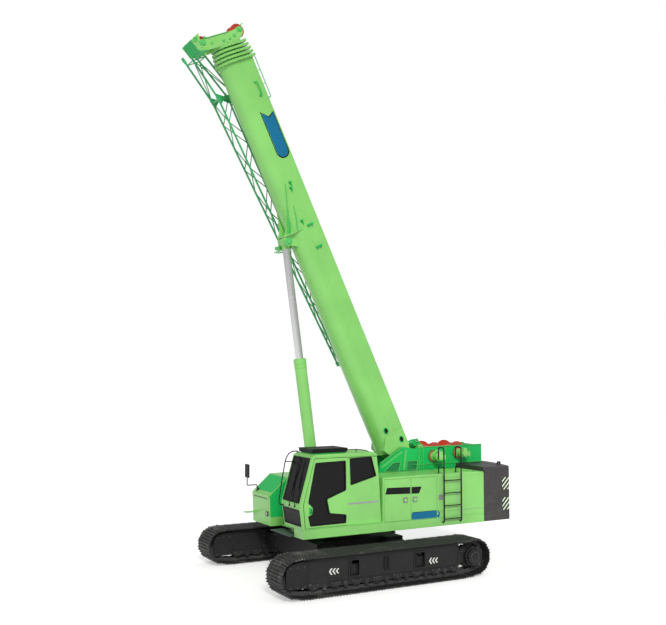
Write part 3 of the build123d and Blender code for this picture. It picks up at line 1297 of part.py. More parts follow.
BRACKET_GAP = 0.6
with BuildPart() as jib_brackets:
    for s in (8700, 3300):
        share = (JIB_STATIONS[1][0] - s) / (JIB_STATIONS[1][0] - JIB_STATIONS[2][0])
        lower = JIB_STATIONS[1][1] + share * (JIB_STATIONS[2][1] - JIB_STATIONS[1][1])
        height = JIB_STATIONS[1][2] + share * (JIB_STATIONS[2][2] - JIB_STATIONS[1][2])
        near = JIB_STATIONS[1][3] + share * (JIB_STATIONS[2][3] - JIB_STATIONS[1][3])
        reach = -near - CHORD_RADIUS - BRACKET_GAP - BASE_HALF
        with BuildSketch(boom_side_at(-BASE_HALF)):
            with Locations((s, lower + height)):
                Rectangle(110, 80)
        extrude(amount=reach)
save(jib_brackets, "jib_brackets")
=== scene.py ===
import json
import math

import bmesh
import bpy
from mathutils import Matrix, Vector

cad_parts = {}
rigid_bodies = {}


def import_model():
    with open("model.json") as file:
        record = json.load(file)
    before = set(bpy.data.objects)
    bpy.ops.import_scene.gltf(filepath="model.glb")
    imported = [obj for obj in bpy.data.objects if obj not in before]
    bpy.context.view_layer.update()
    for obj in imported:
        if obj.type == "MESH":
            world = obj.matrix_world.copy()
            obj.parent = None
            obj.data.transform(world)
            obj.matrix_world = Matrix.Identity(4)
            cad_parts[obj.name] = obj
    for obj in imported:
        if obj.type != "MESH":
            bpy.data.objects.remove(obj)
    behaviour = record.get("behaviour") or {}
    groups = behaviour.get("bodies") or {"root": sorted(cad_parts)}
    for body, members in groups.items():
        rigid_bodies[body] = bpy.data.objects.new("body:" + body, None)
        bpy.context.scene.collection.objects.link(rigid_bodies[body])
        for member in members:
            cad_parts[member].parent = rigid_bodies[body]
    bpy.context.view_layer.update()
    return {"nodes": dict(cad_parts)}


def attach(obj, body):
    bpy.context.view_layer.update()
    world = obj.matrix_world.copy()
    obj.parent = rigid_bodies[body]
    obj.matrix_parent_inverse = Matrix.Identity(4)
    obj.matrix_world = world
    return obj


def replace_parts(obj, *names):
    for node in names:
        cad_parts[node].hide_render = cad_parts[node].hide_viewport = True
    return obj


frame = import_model()
NODES = frame["nodes"]
SCENE = bpy.context.scene.collection
X, Y, Z = Vector((1, 0, 0)), Vector((0, 1, 0)), Vector((0, 0, 1))


def placed(name, data):
    """A new object of the scene."""
    thing = bpy.data.objects.new(name, data)
    SCENE.objects.link(thing)
    return thing


# ---------------------------------------------------------------- camera
EYE = (9.939, 17.464, 4.289)
YAW = 0.5109
PITCH = 0.0676
LENS = 48.53
FILM = 36.0


def put_camera():
    """One camera at the eye point, level from side to side, looking slightly upward."""
    data = bpy.data.cameras.new("view")
    data.lens = LENS
    data.sensor_width = FILM
    data.clip_end = 200
    camera = placed("view", data)
    camera.location = EYE
    look = Vector((-math.sin(YAW) * math.cos(PITCH), -math.cos(YAW) * math.cos(PITCH), math.sin(PITCH)))
    camera.rotation_euler = look.to_track_quat("-Z", "Y").to_euler()
    bpy.context.scene.camera = camera


put_camera()
bpy.context.scene.view_settings.view_transform = "Standard"


# ---------------------------------------------------------------- shader maths
class Wire:
    """A socket of a finish's node tree. Sums, differences, products and quotients of wires add Math nodes."""

    def __init__(self, finish, socket):
        self.finish = finish
        self.socket = socket

    def maths(self, operation, *values, clamp=False):
        node = self.finish.node("ShaderNodeMath", {"operation": operation, "use_clamp": clamp},
                                dict(enumerate(values)))
        return node[0]

    def __add__(self, other):
        return self.maths("ADD", self, other)

    def __radd__(self, other):
        return self.maths("ADD", other, self)

    def __sub__(self, other):
        return self.maths("SUBTRACT", self, other)

    def __rsub__(self, other):
        return self.maths("SUBTRACT", other, self)

    def __mul__(self, other):
        return self.maths("MULTIPLY", self, other)

    def __rmul__(self, other):
        return self.maths("MULTIPLY", other, self)

    def __truediv__(self, other):
        return self.maths("DIVIDE", self, other)

    def above(self, level):
        return self.maths("GREATER_THAN", self, level)

    def fract(self):
        return self.maths("FRACT", self)

    def clamped(self):
        return self.maths("ADD", self, 0.0, clamp=True)

    def ramp(self, low, high):
        """0 below low, 1 above high, smooth between them."""
        node = self.finish.node("ShaderNodeMapRange", {"interpolation_type": "SMOOTHSTEP"},
                                {"Value": self, "From Min": low, "From Max": high})
        return node["Result"]


class Nodes:
    """A node whose outputs are read by name or number as wires."""

    def __init__(self, finish, node):
        self.finish = finish
        self.raw = node

    def __getitem__(self, key):
        return Wire(self.finish, self.raw.outputs[key])


class Finish:
    """One procedural material with a Principled shader."""

    def __init__(self, name, **uniform):
        self.material = bpy.data.materials.new(name)
        self.material.use_nodes = True
        self.tree = self.material.node_tree
        self.tree.nodes.clear()
        self.out = self.tree.nodes.new("ShaderNodeOutputMaterial")
        self.shader = self.tree.nodes.new("ShaderNodeBsdfPrincipled")
        self.tree.links.new(self.shader.outputs[0], self.out.inputs["Surface"])
        for key, value in uniform.items():
            self.shader.inputs[key.replace("_", " ")].default_value = value
        self.place = self.node("ShaderNodeTexCoord", {}, {})["Object"]

    def node(self, kind, settings, inputs):
        raw = self.tree.nodes.new(kind)
        for key, value in settings.items():
            setattr(raw, key, value)
        for key, value in inputs.items():
            self.feed(raw.inputs[key], value)
        return Nodes(self, raw)

    def feed(self, socket, value):
        if isinstance(value, Wire):
            self.tree.links.new(value.socket, socket)
        elif isinstance(value, (tuple, list)) and len(value) == 3 and len(socket.default_value) == 4:
            socket.default_value = (*value, 1.0)
        else:
            socket.default_value = value

    def drive(self, **wires):
        for key, wire in wires.items():
            self.feed(self.shader.inputs[key.replace("_", " ")], wire)
        return self

    def stretched(self, stretch):
        """Where a texture is read, its axes scaled."""
        if not stretch:
            return self.place
        return self.node("ShaderNodeMapping", {}, {"Vector": self.place, "Scale": stretch})["Vector"]

    def noise(self, scale, detail=3.0, rough=0.55, stretch=None):
        return self.node("ShaderNodeTexNoise", {},
                         {"Vector": self.stretched(stretch), "Scale": scale, "Detail": detail,
                          "Roughness": rough})["Fac"]

    def cells(self, scale):
        return self.node("ShaderNodeTexVoronoi", {}, {"Vector": self.place, "Scale": scale})["Distance"]

    def mix(self, factor, first, second):
        node = self.tree.nodes.new("ShaderNodeMix")
        node.data_type = "RGBA"
        for key, value in (("Factor", factor), (6, first), (7, second)):
            self.feed(node.inputs[key], value)
        return Wire(self, node.outputs[2])

    def bump(self, height, strength=0.3, distance=0.002):
        return self.node("ShaderNodeBump", {},
                         {"Height": height, "Strength": strength, "Distance": distance})["Normal"]

    def axis(self, name):
        return self.node("ShaderNodeSeparateXYZ", {}, {"Vector": self.place})[name]


BARE_STEEL = (0.33, 0.32, 0.30)
DRY_SOIL = (0.12, 0.115, 0.105)
DUST = (0.36, 0.34, 0.28)


def toned(colour, share):
    """The colour made darker or lighter."""
    return tuple(value * share for value in colour)


def paint(name, colour, gloss=0.34, coat=0.35, dust=0.25, dust_colour=DUST, peel=0.06, low=1.2,
          sheen=0.5):
    """Sprayed paint: faint tone changes, orange peel, and dust that gathers towards the ground."""
    finish = Finish(name, Coat_Weight=coat, Coat_Roughness=0.18, IOR=1.5, Specular_IOR_Level=sheen)
    tone = finish.noise(0.9, 4.0)
    fine = finish.noise(34.0, 2.0)
    height = finish.axis("Z")
    settle = (1 - (height / low).clamped()) * finish.noise(5.5, 6.0, 0.65).ramp(0.42, 0.68)
    streak = finish.noise(3.0, 5.0, 0.6, stretch=(2.2, 2.2, 0.16)).ramp(0.5, 0.78)
    dirt = (settle * dust + streak * (dust * 0.22)).clamped()
    shade = finish.mix(tone.ramp(0.3, 0.7), toned(colour, 0.86), colour)
    finish.drive(
        Base_Color=finish.mix(dirt, shade, dust_colour),
        Roughness=(gloss + dirt * 0.4 + fine * 0.05 - 0.025).clamped(),
        Normal=finish.bump(finish.noise(150.0, 2.0), peel, 0.0012),
    )
    return finish.material


def worn_steel(name, colour, wear=0.5, mud=0.3, sheen=0.2):
    """Dark rolled or cast steel, scuffed to brighter metal, with dry soil in its pores."""
    finish = Finish(name, IOR=1.5, Specular_IOR_Level=sheen)
    broad = finish.noise(2.2, 6.0, 0.6)
    grit = finish.noise(60.0, 5.0, 0.7)
    scratch = finish.noise(26.0, 4.0, 0.6, stretch=(0.25, 3.0, 1.0))
    scuff = ((broad + scratch * 0.6).ramp(0.84, 1.06) * wear).clamped()
    soil = (finish.noise(7.0, 6.0, 0.65).ramp(0.5, 0.72) * mud).clamped()
    shade = finish.mix(grit, toned(colour, 0.7), toned(colour, 1.25))
    worn = finish.mix(scuff, shade, BARE_STEEL)
    finish.drive(
        Base_Color=finish.mix(soil, worn, DRY_SOIL),
        Metallic=(scuff * 0.5).clamped(),
        Roughness=(0.55 + soil * 0.3 - scuff * 0.25 + grit * 0.1 - 0.05).clamped(),
        Normal=finish.bump(grit + scratch * 0.4, 0.35, 0.003),
    )
    return finish.material


def machined(name, colour, rough):
    """Turned or ground bright metal with fine lines."""
    finish = Finish(name, Metallic=1.0)
    lines = finish.noise(160.0, 2.0, 0.6, stretch=(1.0, 1.0, 0.08))
    smear = finish.noise(4.0, 4.0)
    finish.drive(
        Base_Color=finish.mix(smear, toned(colour, 0.85), colour),
        Roughness=(rough + lines * 0.12 + smear * 0.08).clamped(),
        Normal=finish.bump(lines, 0.08, 0.0008),
    )
    return finish.material


def tinted_glass(name, colour):
    """Dark glass that mirrors a little, with a faint smear."""
    finish = Finish(name, IOR=1.5, Specular_IOR_Level=0.14)
    film = finish.noise(1.6, 4.0)
    smear = finish.noise(12.0, 5.0, 0.6, stretch=(1.0, 1.0, 0.3))
    finish.drive(
        Base_Color=finish.mix(film, colour, toned(colour, 1.5)),
        Roughness=(0.04 + smear * 0.08).clamped(),
    )
    return finish.material


def moulded(name, colour, rough=0.55):
    """Moulded plastic or rubber with a fine pressed grain."""
    finish = Finish(name, IOR=1.48, Specular_IOR_Level=0.25)
    pores = finish.cells(240.0)
    tone = finish.noise(3.0, 4.0)
    finish.drive(
        Base_Color=finish.mix(tone, toned(colour, 0.75), toned(colour, 1.3)),
        Roughness=(rough + tone * 0.15 - 0.05).clamped(),
        Normal=finish.bump(pores, 0.25, 0.0008),
    )
    return finish.material


def woven(name, colour):
    """Cloth of two crossing threads."""
    finish = Finish(name, Sheen_Weight=0.4, Sheen_Roughness=0.5)
    warp, weft = (finish.node("ShaderNodeTexWave", {"wave_type": "BANDS", "bands_direction": way},
                              {"Vector": finish.place, "Scale": 180.0, "Distortion": 1.5})["Fac"]
                  for way in "YZ")
    cloth = warp * 0.5 + weft * 0.5
    finish.drive(
        Base_Color=finish.mix(cloth, toned(colour, 0.6), toned(colour, 1.4)),
        Roughness=(0.8 + cloth * 0.1).clamped(),
        Normal=finish.bump(cloth, 0.4, 0.001),
    )
    return finish.material


BAR_PITCH = 0.11


def barred(name, light, dark):
    """Slanting bars of two colours across a field."""
    finish = Finish(name, Coat_Weight=0.1)
    bars = ((finish.axis("X") + finish.axis("Z")) * (1 / BAR_PITCH)).fract().above(0.60)
    grime = finish.noise(18.0, 5.0, 0.6)
    finish.drive(
        Base_Color=finish.mix(grime.ramp(0.55, 0.8) * 0.35, finish.mix(bars, dark, light), (0.2, 0.19, 0.16)),
        Roughness=(0.38 + grime * 0.2).clamped(),
        Normal=finish.bump(grime, 0.05, 0.001),
    )
    return finish.material


GREEN = (0.265, 0.71, 0.165)
F = {
    "body": paint("green_body_paint", GREEN),
    "boom": paint("green_boom_paint", GREEN, dust=0.12),
    "jib": paint("green_jib_paint", (0.035, 0.46, 0.15), dust=0.15, peel=0.04),
    "frame": paint("black_frame_paint", (0.015, 0.015, 0.016), gloss=0.5, coat=0.03, dust=0.10,
                   dust_colour=(0.10, 0.10, 0.10), low=0.9, sheen=0.25),
    "weight": paint("graphite_paint", (0.052, 0.049, 0.051), gloss=0.5, coat=0.04, dust=0.12, peel=0.2,
                    low=2.6, sheen=0.3),
    "red": paint("red_oxide_paint", (0.60, 0.045, 0.02), gloss=0.4, coat=0.2, dust=0.1),
    "track": worn_steel("track_shoe_steel", (0.018, 0.018, 0.019), mud=0.05, wear=0.5, sheen=0.4),
    "roller": worn_steel("roller_steel", (0.060, 0.060, 0.062), wear=0.4, mud=0.05, sheen=0.4),
    "bar": worn_steel("ground_bar_steel", (0.052, 0.053, 0.052), mud=0.05, wear=0.7, sheen=0.5),
    "chrome": machined("hard_chrome", (0.72, 0.72, 0.73), rough=0.16),
    "steel": machined("ground_steel", (0.45, 0.45, 0.46), rough=0.34),
    "glass": tinted_glass("cab_glass_tint", (0.007, 0.007, 0.008)),
    "plastic": moulded("black_plastic", (0.022, 0.022, 0.024)),
    "rubber": moulded("seal_rubber", (0.012, 0.012, 0.012), rough=0.7),
    "fabric": woven("seat_cloth", (0.03, 0.03, 0.034)),
    # the body green as it looks in shade, laid on as a paint: painted shade
    "deep": paint("deep_green_paint", (0.016, 0.56, 0.125), coat=0.0, dust=0.08, sheen=0.15),
    "latch": paint("latch_grey", (0.26, 0.26, 0.27), gloss=0.35, coat=0.1, dust=0.1, peel=0.02),
    "white": paint("white_mark_paint", (0.80, 0.80, 0.78), dust=0.15, peel=0.03),
    "mark": paint("black_plate_film", (0.010, 0.010, 0.011), gloss=0.4, coat=0.0, dust=0.05, peel=0.03,
                  sheen=0.15),
    "blue": paint("blue_plate_film", (0.007, 0.17, 0.34), gloss=0.4, coat=0.0, dust=0.05, peel=0.03,
                  sheen=0.2),
    "rim": paint("rim_green_paint", (0.10, 0.60, 0.14), dust=0.2),
    # a dark green that stands in for the shade inside openings: painted shade
    "shade": paint("inner_green_paint", (0.012, 0.25, 0.075), gloss=0.6, coat=0.05, dust=0.3),
    "step": paint("step_paint", (0.075, 0.12, 0.095), gloss=0.5, coat=0.05, dust=0.4, peel=0.1),
    "stripes": barred("warning_bars", (0.74, 0.86, 0.66), (0.008, 0.008, 0.009)),
    "lens": tinted_glass("lamp_lens", (0.5, 0.5, 0.48)),
}

# the nodes that each finish covers
FINISH_OF = {
    "track": "track_left track_right",
    "roller": "idlers sprockets bottom_rollers carrier_rollers",
    "frame": "final_drives track_frame_left track_frame_right carbody cross_beams roof_guard guard_hoop "
             "ladder",
    "step": "step_plate",
    "steel": "slew_ring foot_pin door_rail",
    # the winch frame and the boom's cheeks take the body green's shaded copy: painted shade
    "deep": "winch_frame boom_cheeks",
    "body": "deck cab_shell right_box housing cab_door service_door_front "
            "service_door_rear winch_motors valve_block",
    "glass": "cab_glass door_glass",
    "fabric": "cab_seat",
    "plastic": "cab_console mirror",
    "weight": "counterweight power_block",
    "red": "winch_drum_front winch_drum_rear head_sheaves guide_sheaves",
    "boom": "boom_base jib_brackets boom_section_2 boom_section_3 boom_section_4 boom_section_5 boom_head "
            "luff_barrel",
    "jib": "fly_jib",
    "chrome": "luff_rod",
}
# the finishes of each slot, for pieces that name no other slot
SLOTS = {
    "track": "track", "frame": "frame mark step white", "roller": "roller", "body": "body deep shade",
    "boom": "boom rim", "jib": "jib", "dark": "weight stripes", "glass": "lens", "red": "red",
    "steel": "steel latch", "black": "plastic rubber",
}
SLOT_OF = {finish: slot for slot, finishes in SLOTS.items() for finish in finishes.split()}
for finish_name, nodes in FINISH_OF.items():
    for node_name in nodes.split():
        shown = NODES[node_name]
        shown.data.materials.clear()
        shown.data.materials.append(F[finish_name])


# ---------------------------------------------------------------- making pieces
ROOT = 0.001                       # how far a raised piece starts below the surface that it is on


def rect(x0, x1, z0, z1):
    """The corners of a rectangle, as an outline."""
    return [(x0, z0), (x1, z0), (x1, z1), (x0, z1)]


def spokes(axis, count, start=None):
    """Unit vectors evenly round an axis."""
    first = Vector(start).normalized() if start else axis.orthogonal().normalized()
    second = axis.cross(first)
    for k in range(count):
        angle = 2 * math.pi * k / count
        yield first * math.cos(angle) + second * math.sin(angle)


def shaded(mesh, angle):
    """Smooth shading with sharp edges above an angle."""
    mesh.polygons.foreach_set("use_smooth", [True] * len(mesh.polygons))
    mesh.set_sharp_from_angle(angle=math.radians(angle))
    return mesh


def baked(carrier):
    """The mesh that an object's modifier makes, under the object's name; the object goes."""
    name = carrier.name
    graph = bpy.context.evaluated_depsgraph_get()
    mesh = bpy.data.meshes.new_from_object(carrier.evaluated_get(graph), depsgraph=graph)
    carrier.modifiers.clear()
    bpy.data.objects.remove(carrier)
    mesh.name = name
    return mesh


class Form:
    """The loose solids of one piece, gathered in one mesh before it becomes an object."""

    def __init__(self):
        self.mesh = bmesh.new()

    def hull(self, rings, closed=False):
        """Quads between rings of points; the last ring joins the first where the run is closed."""
        rows = [[self.mesh.verts.new(point) for point in ring] for ring in rings]
        count = len(rows[0])
        for k in range(len(rows) if closed else len(rows) - 1):
            a, b = rows[k], rows[(k + 1) % len(rows)]
            for i in range(count):
                self.mesh.faces.new((a[i], a[(i + 1) % count], b[(i + 1) % count], b[i]))
        if not closed:
            self.mesh.faces.new(list(reversed(rows[0])))
            self.mesh.faces.new(rows[-1])
        return self

    def prism(self, outline, place, low, high):
        """A flat outline of (u, v) between two depths; place turns (u, v, depth) into a point."""
        return self.hull([[place(u, v, w) for u, v in outline] for w in (low, high)])

    def raised(self, outline, place, high, side=1):
        """A prism that stands on a surface, toward +depth (1) or -depth (-1)."""
        return self.prism(outline, place, -side * ROOT, side * high)

    def banded(self, outer, inner, place, high, side=1):
        """A closed frame that stands on a surface."""
        return self.frame(outer, inner, place, -side * ROOT, side * high)

    def block(self, low, high):
        """A box between two corners."""
        (x0, y0, z0), (x1, y1, z1) = low, high
        return self.prism(rect(x0, x1, z0, z1), along_y(), y0, y1)

    def tube(self, path, radius, sides=8, closed=False):
        """A round bar along a path, mitred at its corners."""
        path = [Vector(point) for point in path]
        count = len(path)
        rings = []
        normal = None
        for i, point in enumerate(path):
            before = path[i - 1] if i or closed else None
            after = path[(i + 1) % count] if i + 1 < count or closed else None
            inward = (point - before).normalized() if before is not None else (after - point).normalized()
            outward = (after - point).normalized() if after is not None else inward
            along = (inward + outward).normalized()
            if normal is None:
                normal = along.orthogonal().normalized()
            normal = (normal - along * normal.dot(along)).normalized()
            across = along.cross(normal)
            miter = 1 / max(0.5, along.dot(inward))
            bend = outward - inward
            ring = []
            for k in range(sides):
                turn = 2 * math.pi * k / sides
                spoke = normal * math.cos(turn) + across * math.sin(turn)
                stretch = 1.0
                if bend.length > 1e-4:
                    stretch += (miter - 1) * abs(spoke.dot(bend.normalized()))
                ring.append(point + spoke * radius * stretch)
            rings.append(ring)
        return self.hull(rings, closed=closed)

    def turned(self, profile, centre, axis, sides=24, start=None, closed=False):
        """A turned solid: profile rows are (radius, distance along the axis from the centre)."""
        centre, axis = Vector(centre), Vector(axis).normalized()
        return self.hull([[centre + axis * along + spoke * max(radius, 1e-4)
                           for spoke in spokes(axis, sides, start)] for radius, along in profile],
                         closed=closed)

    def ring(self, outer, inner, low, high, centre, axis, sides=32):
        """A flat ring or a short pipe between two distances along its axis."""
        return self.turned(((outer, low), (outer, high), (inner, high), (inner, low)), centre, axis, sides,
                           closed=True)

    def frame(self, outer, inner, place, low, high):
        """A closed frame between an outer outline and an inner one with as many points."""
        rows = ((outer, low), (outer, high), (inner, high), (inner, low))
        return self.hull([[place(u, v, w) for u, v in outline] for outline, w in rows], closed=True)

    def rounded(self, size, segments=2):
        """Bevels the edges that turn by more than 30 degrees."""
        self.mesh.normal_update()
        limit = math.radians(30)
        hard = [edge for edge in self.mesh.edges
                if len(edge.link_faces) == 2 and edge.calc_face_angle(0) > limit]
        bmesh.ops.bevel(self.mesh, geom=hard, offset=size, segments=segments, affect="EDGES", profile=0.6,
                        clamp_overlap=True)
        return self

    def data(self, name, smooth=32):
        bmesh.ops.recalc_face_normals(self.mesh, faces=self.mesh.faces)
        mesh = bpy.data.meshes.new(name)
        self.mesh.to_mesh(mesh)
        self.mesh.free()
        return shaded(mesh, smooth)

    def made(self, name, finish, body="superstructure", slot=None):
        """The piece as an object that rides on its body."""
        return settle(name, self.data(name), body, finish, slot)


def settle(name, mesh, body, finish, slot):
    """A mesh as a piece with its finish, riding on its body; its slot is looked up and then dropped."""
    piece = placed(name, mesh)
    mesh.materials.clear()
    mesh.materials.append(F[finish])
    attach(piece, body)
    slot or SLOT_OF[finish]
    return piece


def along_y(y0=0.0):
    """Place for outlines drawn as (x, z): depth runs along Y."""
    return lambda u, v, w: (u, y0 + w, v)


def over(z0):
    """Place for outlines drawn as (x, y): depth stands up from this height."""
    return lambda u, v, w: (u, v, z0 + w)


# ---------------------------------------------------------------- Geometry Nodes trees
class Tree:
    """A Geometry Nodes tree with named inputs; its modifier is applied into a plain mesh."""

    def __init__(self, name, inputs):
        self.tree = bpy.data.node_groups.new(name, "GeometryNodeTree")
        socket = self.tree.interface.new_socket
        socket("Geometry", in_out="INPUT", socket_type="NodeSocketGeometry")
        self.ids = {label: socket(label, in_out="INPUT", socket_type="NodeSocket" + kind).identifier
                    for label, kind in inputs}
        socket("Geometry", in_out="OUTPUT", socket_type="NodeSocketGeometry")
        self.start = self.tree.nodes.new("NodeGroupInput")
        self.end = self.tree.nodes.new("NodeGroupOutput")

    def node(self, kind, settings, inputs):
        raw = self.tree.nodes.new(kind)
        for key, value in settings.items():
            setattr(raw, key, value)
        for key, value in inputs.items():
            if isinstance(value, bpy.types.NodeSocket):
                self.tree.links.new(value, raw.inputs[key])
            else:
                raw.inputs[key].default_value = value
        return raw

    def given(self, label):
        return self.start.outputs[label]

    def finish(self, geometry):
        """Every tree ends in Realize Instances and Set Material."""
        real = self.node("GeometryNodeRealizeInstances", {}, {0: geometry})
        dressed = self.node("GeometryNodeSetMaterial", {},
                            {0: real.outputs[0], "Material": self.given("Material")})
        self.tree.links.new(dressed.outputs[0], self.end.inputs[0])
        return self

    def run(self, name, source, body, finish, slot=None, **values):
        """Runs the tree on a mesh or curve and settles the result as one piece."""
        carrier = placed(name, source)
        modifier = carrier.modifiers.new(name, "NODES")
        modifier.node_group = self.tree
        values["Material"] = F[finish]
        for label, value in values.items():
            modifier[self.ids[label.replace("_", " ")]] = value
        return settle(name, shaded(baked(carrier), 32), body, finish, slot)


def fastener_tree():
    """Sets a copy of Part on every point, its Z along the point's aim and its X along the point's lie."""
    tree = Tree("set_fasteners", (("Part", "Object"), ("Size", "Float"), ("Material", "Material")))
    part = tree.node("GeometryNodeObjectInfo", {"transform_space": "ORIGINAL"},
                     {"Object": tree.given("Part")})
    part.inputs["As Instance"].default_value = True
    aim, lie = (tree.node("GeometryNodeInputNamedAttribute", {"data_type": "FLOAT_VECTOR"}, {"Name": name})
                for name in ("aim", "lie"))
    upright = tree.node("FunctionNodeAlignRotationToVector", {"axis": "Z"},
                        {"Vector": aim.outputs["Attribute"]})
    turned = tree.node("FunctionNodeAlignRotationToVector", {"axis": "X", "pivot_axis": "Z"},
                       {"Rotation": upright.outputs[0], "Vector": lie.outputs["Attribute"]})
    points = tree.node("GeometryNodeMeshToPoints", {}, {"Mesh": tree.given("Geometry")})
    copies = tree.node("GeometryNodeInstanceOnPoints", {}, {
        "Points": points.outputs[0], "Instance": part.outputs["Geometry"],
        "Rotation": turned.outputs[0], "Scale": tree.given("Size"),
    })
    return tree.finish(copies.outputs[0])


def path_tree():
    """Sets Count copies of Part along a closed curve, each turned to the curve's run."""
    tree = Tree("lay_chain",
                (("Part", "Object"), ("Count", "Int"), ("Lead", "Vector"), ("Material", "Material")))
    part = tree.node("GeometryNodeObjectInfo", {"transform_space": "ORIGINAL"},
                     {"Object": tree.given("Part")})
    part.inputs["As Instance"].default_value = True
    even = tree.node("GeometryNodeResampleCurve", {},
                     {"Curve": tree.given("Geometry"), "Count": tree.given("Count")})
    run = tree.node("GeometryNodeInputTangent", {}, {})
    first = tree.node("FunctionNodeAlignRotationToVector", {"axis": "Y"}, {"Vector": tree.given("Lead")})
    turned = tree.node("FunctionNodeAlignRotationToVector", {"axis": "X", "pivot_axis": "Y"},
                       {"Rotation": first.outputs[0], "Vector": run.outputs[0]})
    kept = tree.node("GeometryNodeStoreNamedAttribute", {"data_type": "QUATERNION", "domain": "POINT"},
                     {"Geometry": even.outputs[0], "Name": "turn", "Value": turned.outputs[0]})
    points = tree.node("GeometryNodeCurveToPoints", {"mode": "EVALUATED"}, {"Curve": kept.outputs[0]})
    turn = tree.node("GeometryNodeInputNamedAttribute", {"data_type": "QUATERNION"}, {"Name": "turn"})
    copies = tree.node("GeometryNodeInstanceOnPoints", {},
                       {"Points": points.outputs[0], "Instance": part.outputs["Geometry"],
                        "Rotation": turn.outputs["Attribute"]})
    return tree.finish(copies.outputs[0])


FASTENERS = fastener_tree()
CHAIN = path_tree()


def pattern_object(name, form):
    """A part that the trees copy; it isn't shown itself."""
    shape = placed(name, form.data(name))
    shape.hide_render = True
    return shape


def spot_mesh(name, spots):
    """Points with the way each fastener faces and lies, as (place, aim, lie) rows."""
    mesh = bpy.data.meshes.new(name)
    mesh.from_pydata([tuple(place) for place, aim, lie in spots], [], [])
    for label, column in (("aim", 1), ("lie", 2)):
        layer = mesh.attributes.new(label, "FLOAT_VECTOR", "POINT")
        layer.data.foreach_set("vector", [value for row in spots for value in row[column]])
    return mesh


def fasteners(name, part, spots, finish, body="superstructure", size=1.0):
    """Copies of a part on the spots, as one piece."""
    return FASTENERS.run(name, spot_mesh(name, spots), body, finish, Part=part, Size=size)


# a hexagon head on its washer, one unit across, standing on its base
BOLT = pattern_object("bolt_head", Form().turned(
    ((0.68, 0), (0.68, 0.08), (0.51, 0.10), (0.5, 0.32), (0.4, 0.37)), (0, 0, 0), Z, sides=6))


def circle_of(count, radius, centre, axis):
    """Spots evenly round a circle, facing along its axis."""
    centre, axis = Vector(centre), Vector(axis).normalized()
    return [(centre + spoke * radius, axis, spoke) for spoke in spokes(axis, count)]


def row_of(count, first, last, aim, lie=None):
    """Spots evenly from one point to another."""
    first, last = Vector(first), Vector(last)
    run = (last - first).normalized() if lie is None else Vector(lie)
    return [(first.lerp(last, k / max(1, count - 1)), Vector(aim), run) for k in range(count)]


# ---------------------------------------------------------------- tracks
SIDES = (("left", 1), ("right", -1))
WHEEL_R = 0.383                    # path of the grouser tips round the end wheels
WHEEL_AT = (2.1, 0.42)             # x and z of an end wheel
GROUND = (-1.81, 1.88)             # ends of the run on the floor
TRACK_Y = 1.829                    # middle of a track
SHOE_HALF = 0.334                  # half of a shoe's width
SHOES = 54
TIP = 0.026                        # grouser height
SKIN = 0.040                       # grouser tip to the shoe's inner face


def loop_path():
    """Points of the closed loop in X and Z, over the top from rear to front."""
    x, z = WHEEL_AT
    points = []
    for side, contact in ((1, GROUND[1]), (-1, GROUND[0])):
        dx, dz = side * x - contact, z
        reach = math.hypot(dx, dz)
        swing = math.acos(WHEEL_R / reach)
        leave = math.atan2(-dz, -dx) + side * swing
        start, stop = (math.pi / 2, leave) if side > 0 else (leave % (2 * math.pi), math.pi / 2)
        for k in range(25):
            a = start + (stop - start) * k / 24
            points.append((side * x + WHEEL_R * math.cos(a), z + WHEEL_R * math.sin(a)))
        if side > 0:
            points += [(GROUND[1], 0.0), (GROUND[0], 0.0)]
    return points


def loop_curve(name, y):
    curve = bpy.data.curves.new(name, "CURVE")
    curve.dimensions = "3D"
    spline = curve.splines.new("POLY")
    path = loop_path()
    spline.points.add(len(path) - 1)
    for spot, (x, z) in zip(spline.points, path):
        spot.co = (x, y, z, 1)
    spline.use_cyclic_u = True
    return curve


def shoe_pattern():
    """One shoe's plate with its bolts, the ground side up."""
    form = Form()
    plate = ((-0.094, -SKIN), (0.088, -SKIN), (0.097, -SKIN + 0.006), (0.094, -TIP), (-0.086, -TIP),
             (-0.097, -TIP - 0.008))
    form.prism(plate, along_y(), -SHOE_HALF, SHOE_HALF)
    for at in (-0.037, 0.032):
        for y in (-0.085, 0.085):
            form.turned(((0.015, -TIP), (0.014, -0.012), (0.010, -0.010)), (at, y, 0), Z, sides=6)
    return pattern_object("shoe", form)


def bar_pattern():
    """The three ground bars of a shoe, their tips at z 0."""
    form = Form()
    for at, top, wide in ((-0.070, 0.0, 0.012), (-0.004, -0.004, 0.010), (0.066, 0.0, 0.012)):
        bar = ((at - wide, -TIP - 0.001), (at + wide, -TIP - 0.001), (at + wide * 0.6, top),
               (at - wide * 0.6, top))
        form.prism(bar, along_y(), -SHOE_HALF + 0.004, SHOE_HALF - 0.004)
    return pattern_object("ground_bars", form)


def link_pattern():
    """A pair of chain links with the bush between them."""
    form = Form()
    low, high = -0.126, -SKIN - 0.001
    for side in (-1, 1):
        outline = ((-0.075, high), (0.090, high), (0.118, high - 0.030), (0.112, low + 0.012), (0.070, low),
                   (-0.060, low), (-0.096, low + 0.020), (-0.100, high - 0.030))
        form.prism(outline, along_y(), side * 0.068, side * 0.098)
        form.turned(((0.031, 0), (0.031, 0.008), (0.020, 0.010)), (0.098, side * 0.096, -0.083), Y * side,
                    sides=10)
    form.turned(((0.028, -0.068), (0.028, 0.068)), (0.098, 0, -0.083), Y, sides=10)
    return pattern_object("link", form)


LAID = (("track_shoes_", shoe_pattern(), "track", "track"), ("track_bars_", bar_pattern(), "bar", "track"),
        ("track_links_", link_pattern(), "roller", "roller"))
for side_name, side in SIDES:
    pieces = [CHAIN.run(kind + side_name, loop_curve("loop", side * TRACK_Y), "undercarriage", finish, slot,
                        Part=part, Count=SHOES, Lead=(0, 1, 0)) for kind, part, finish, slot in LAID]
    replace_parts(pieces[0], "track_" + side_name)

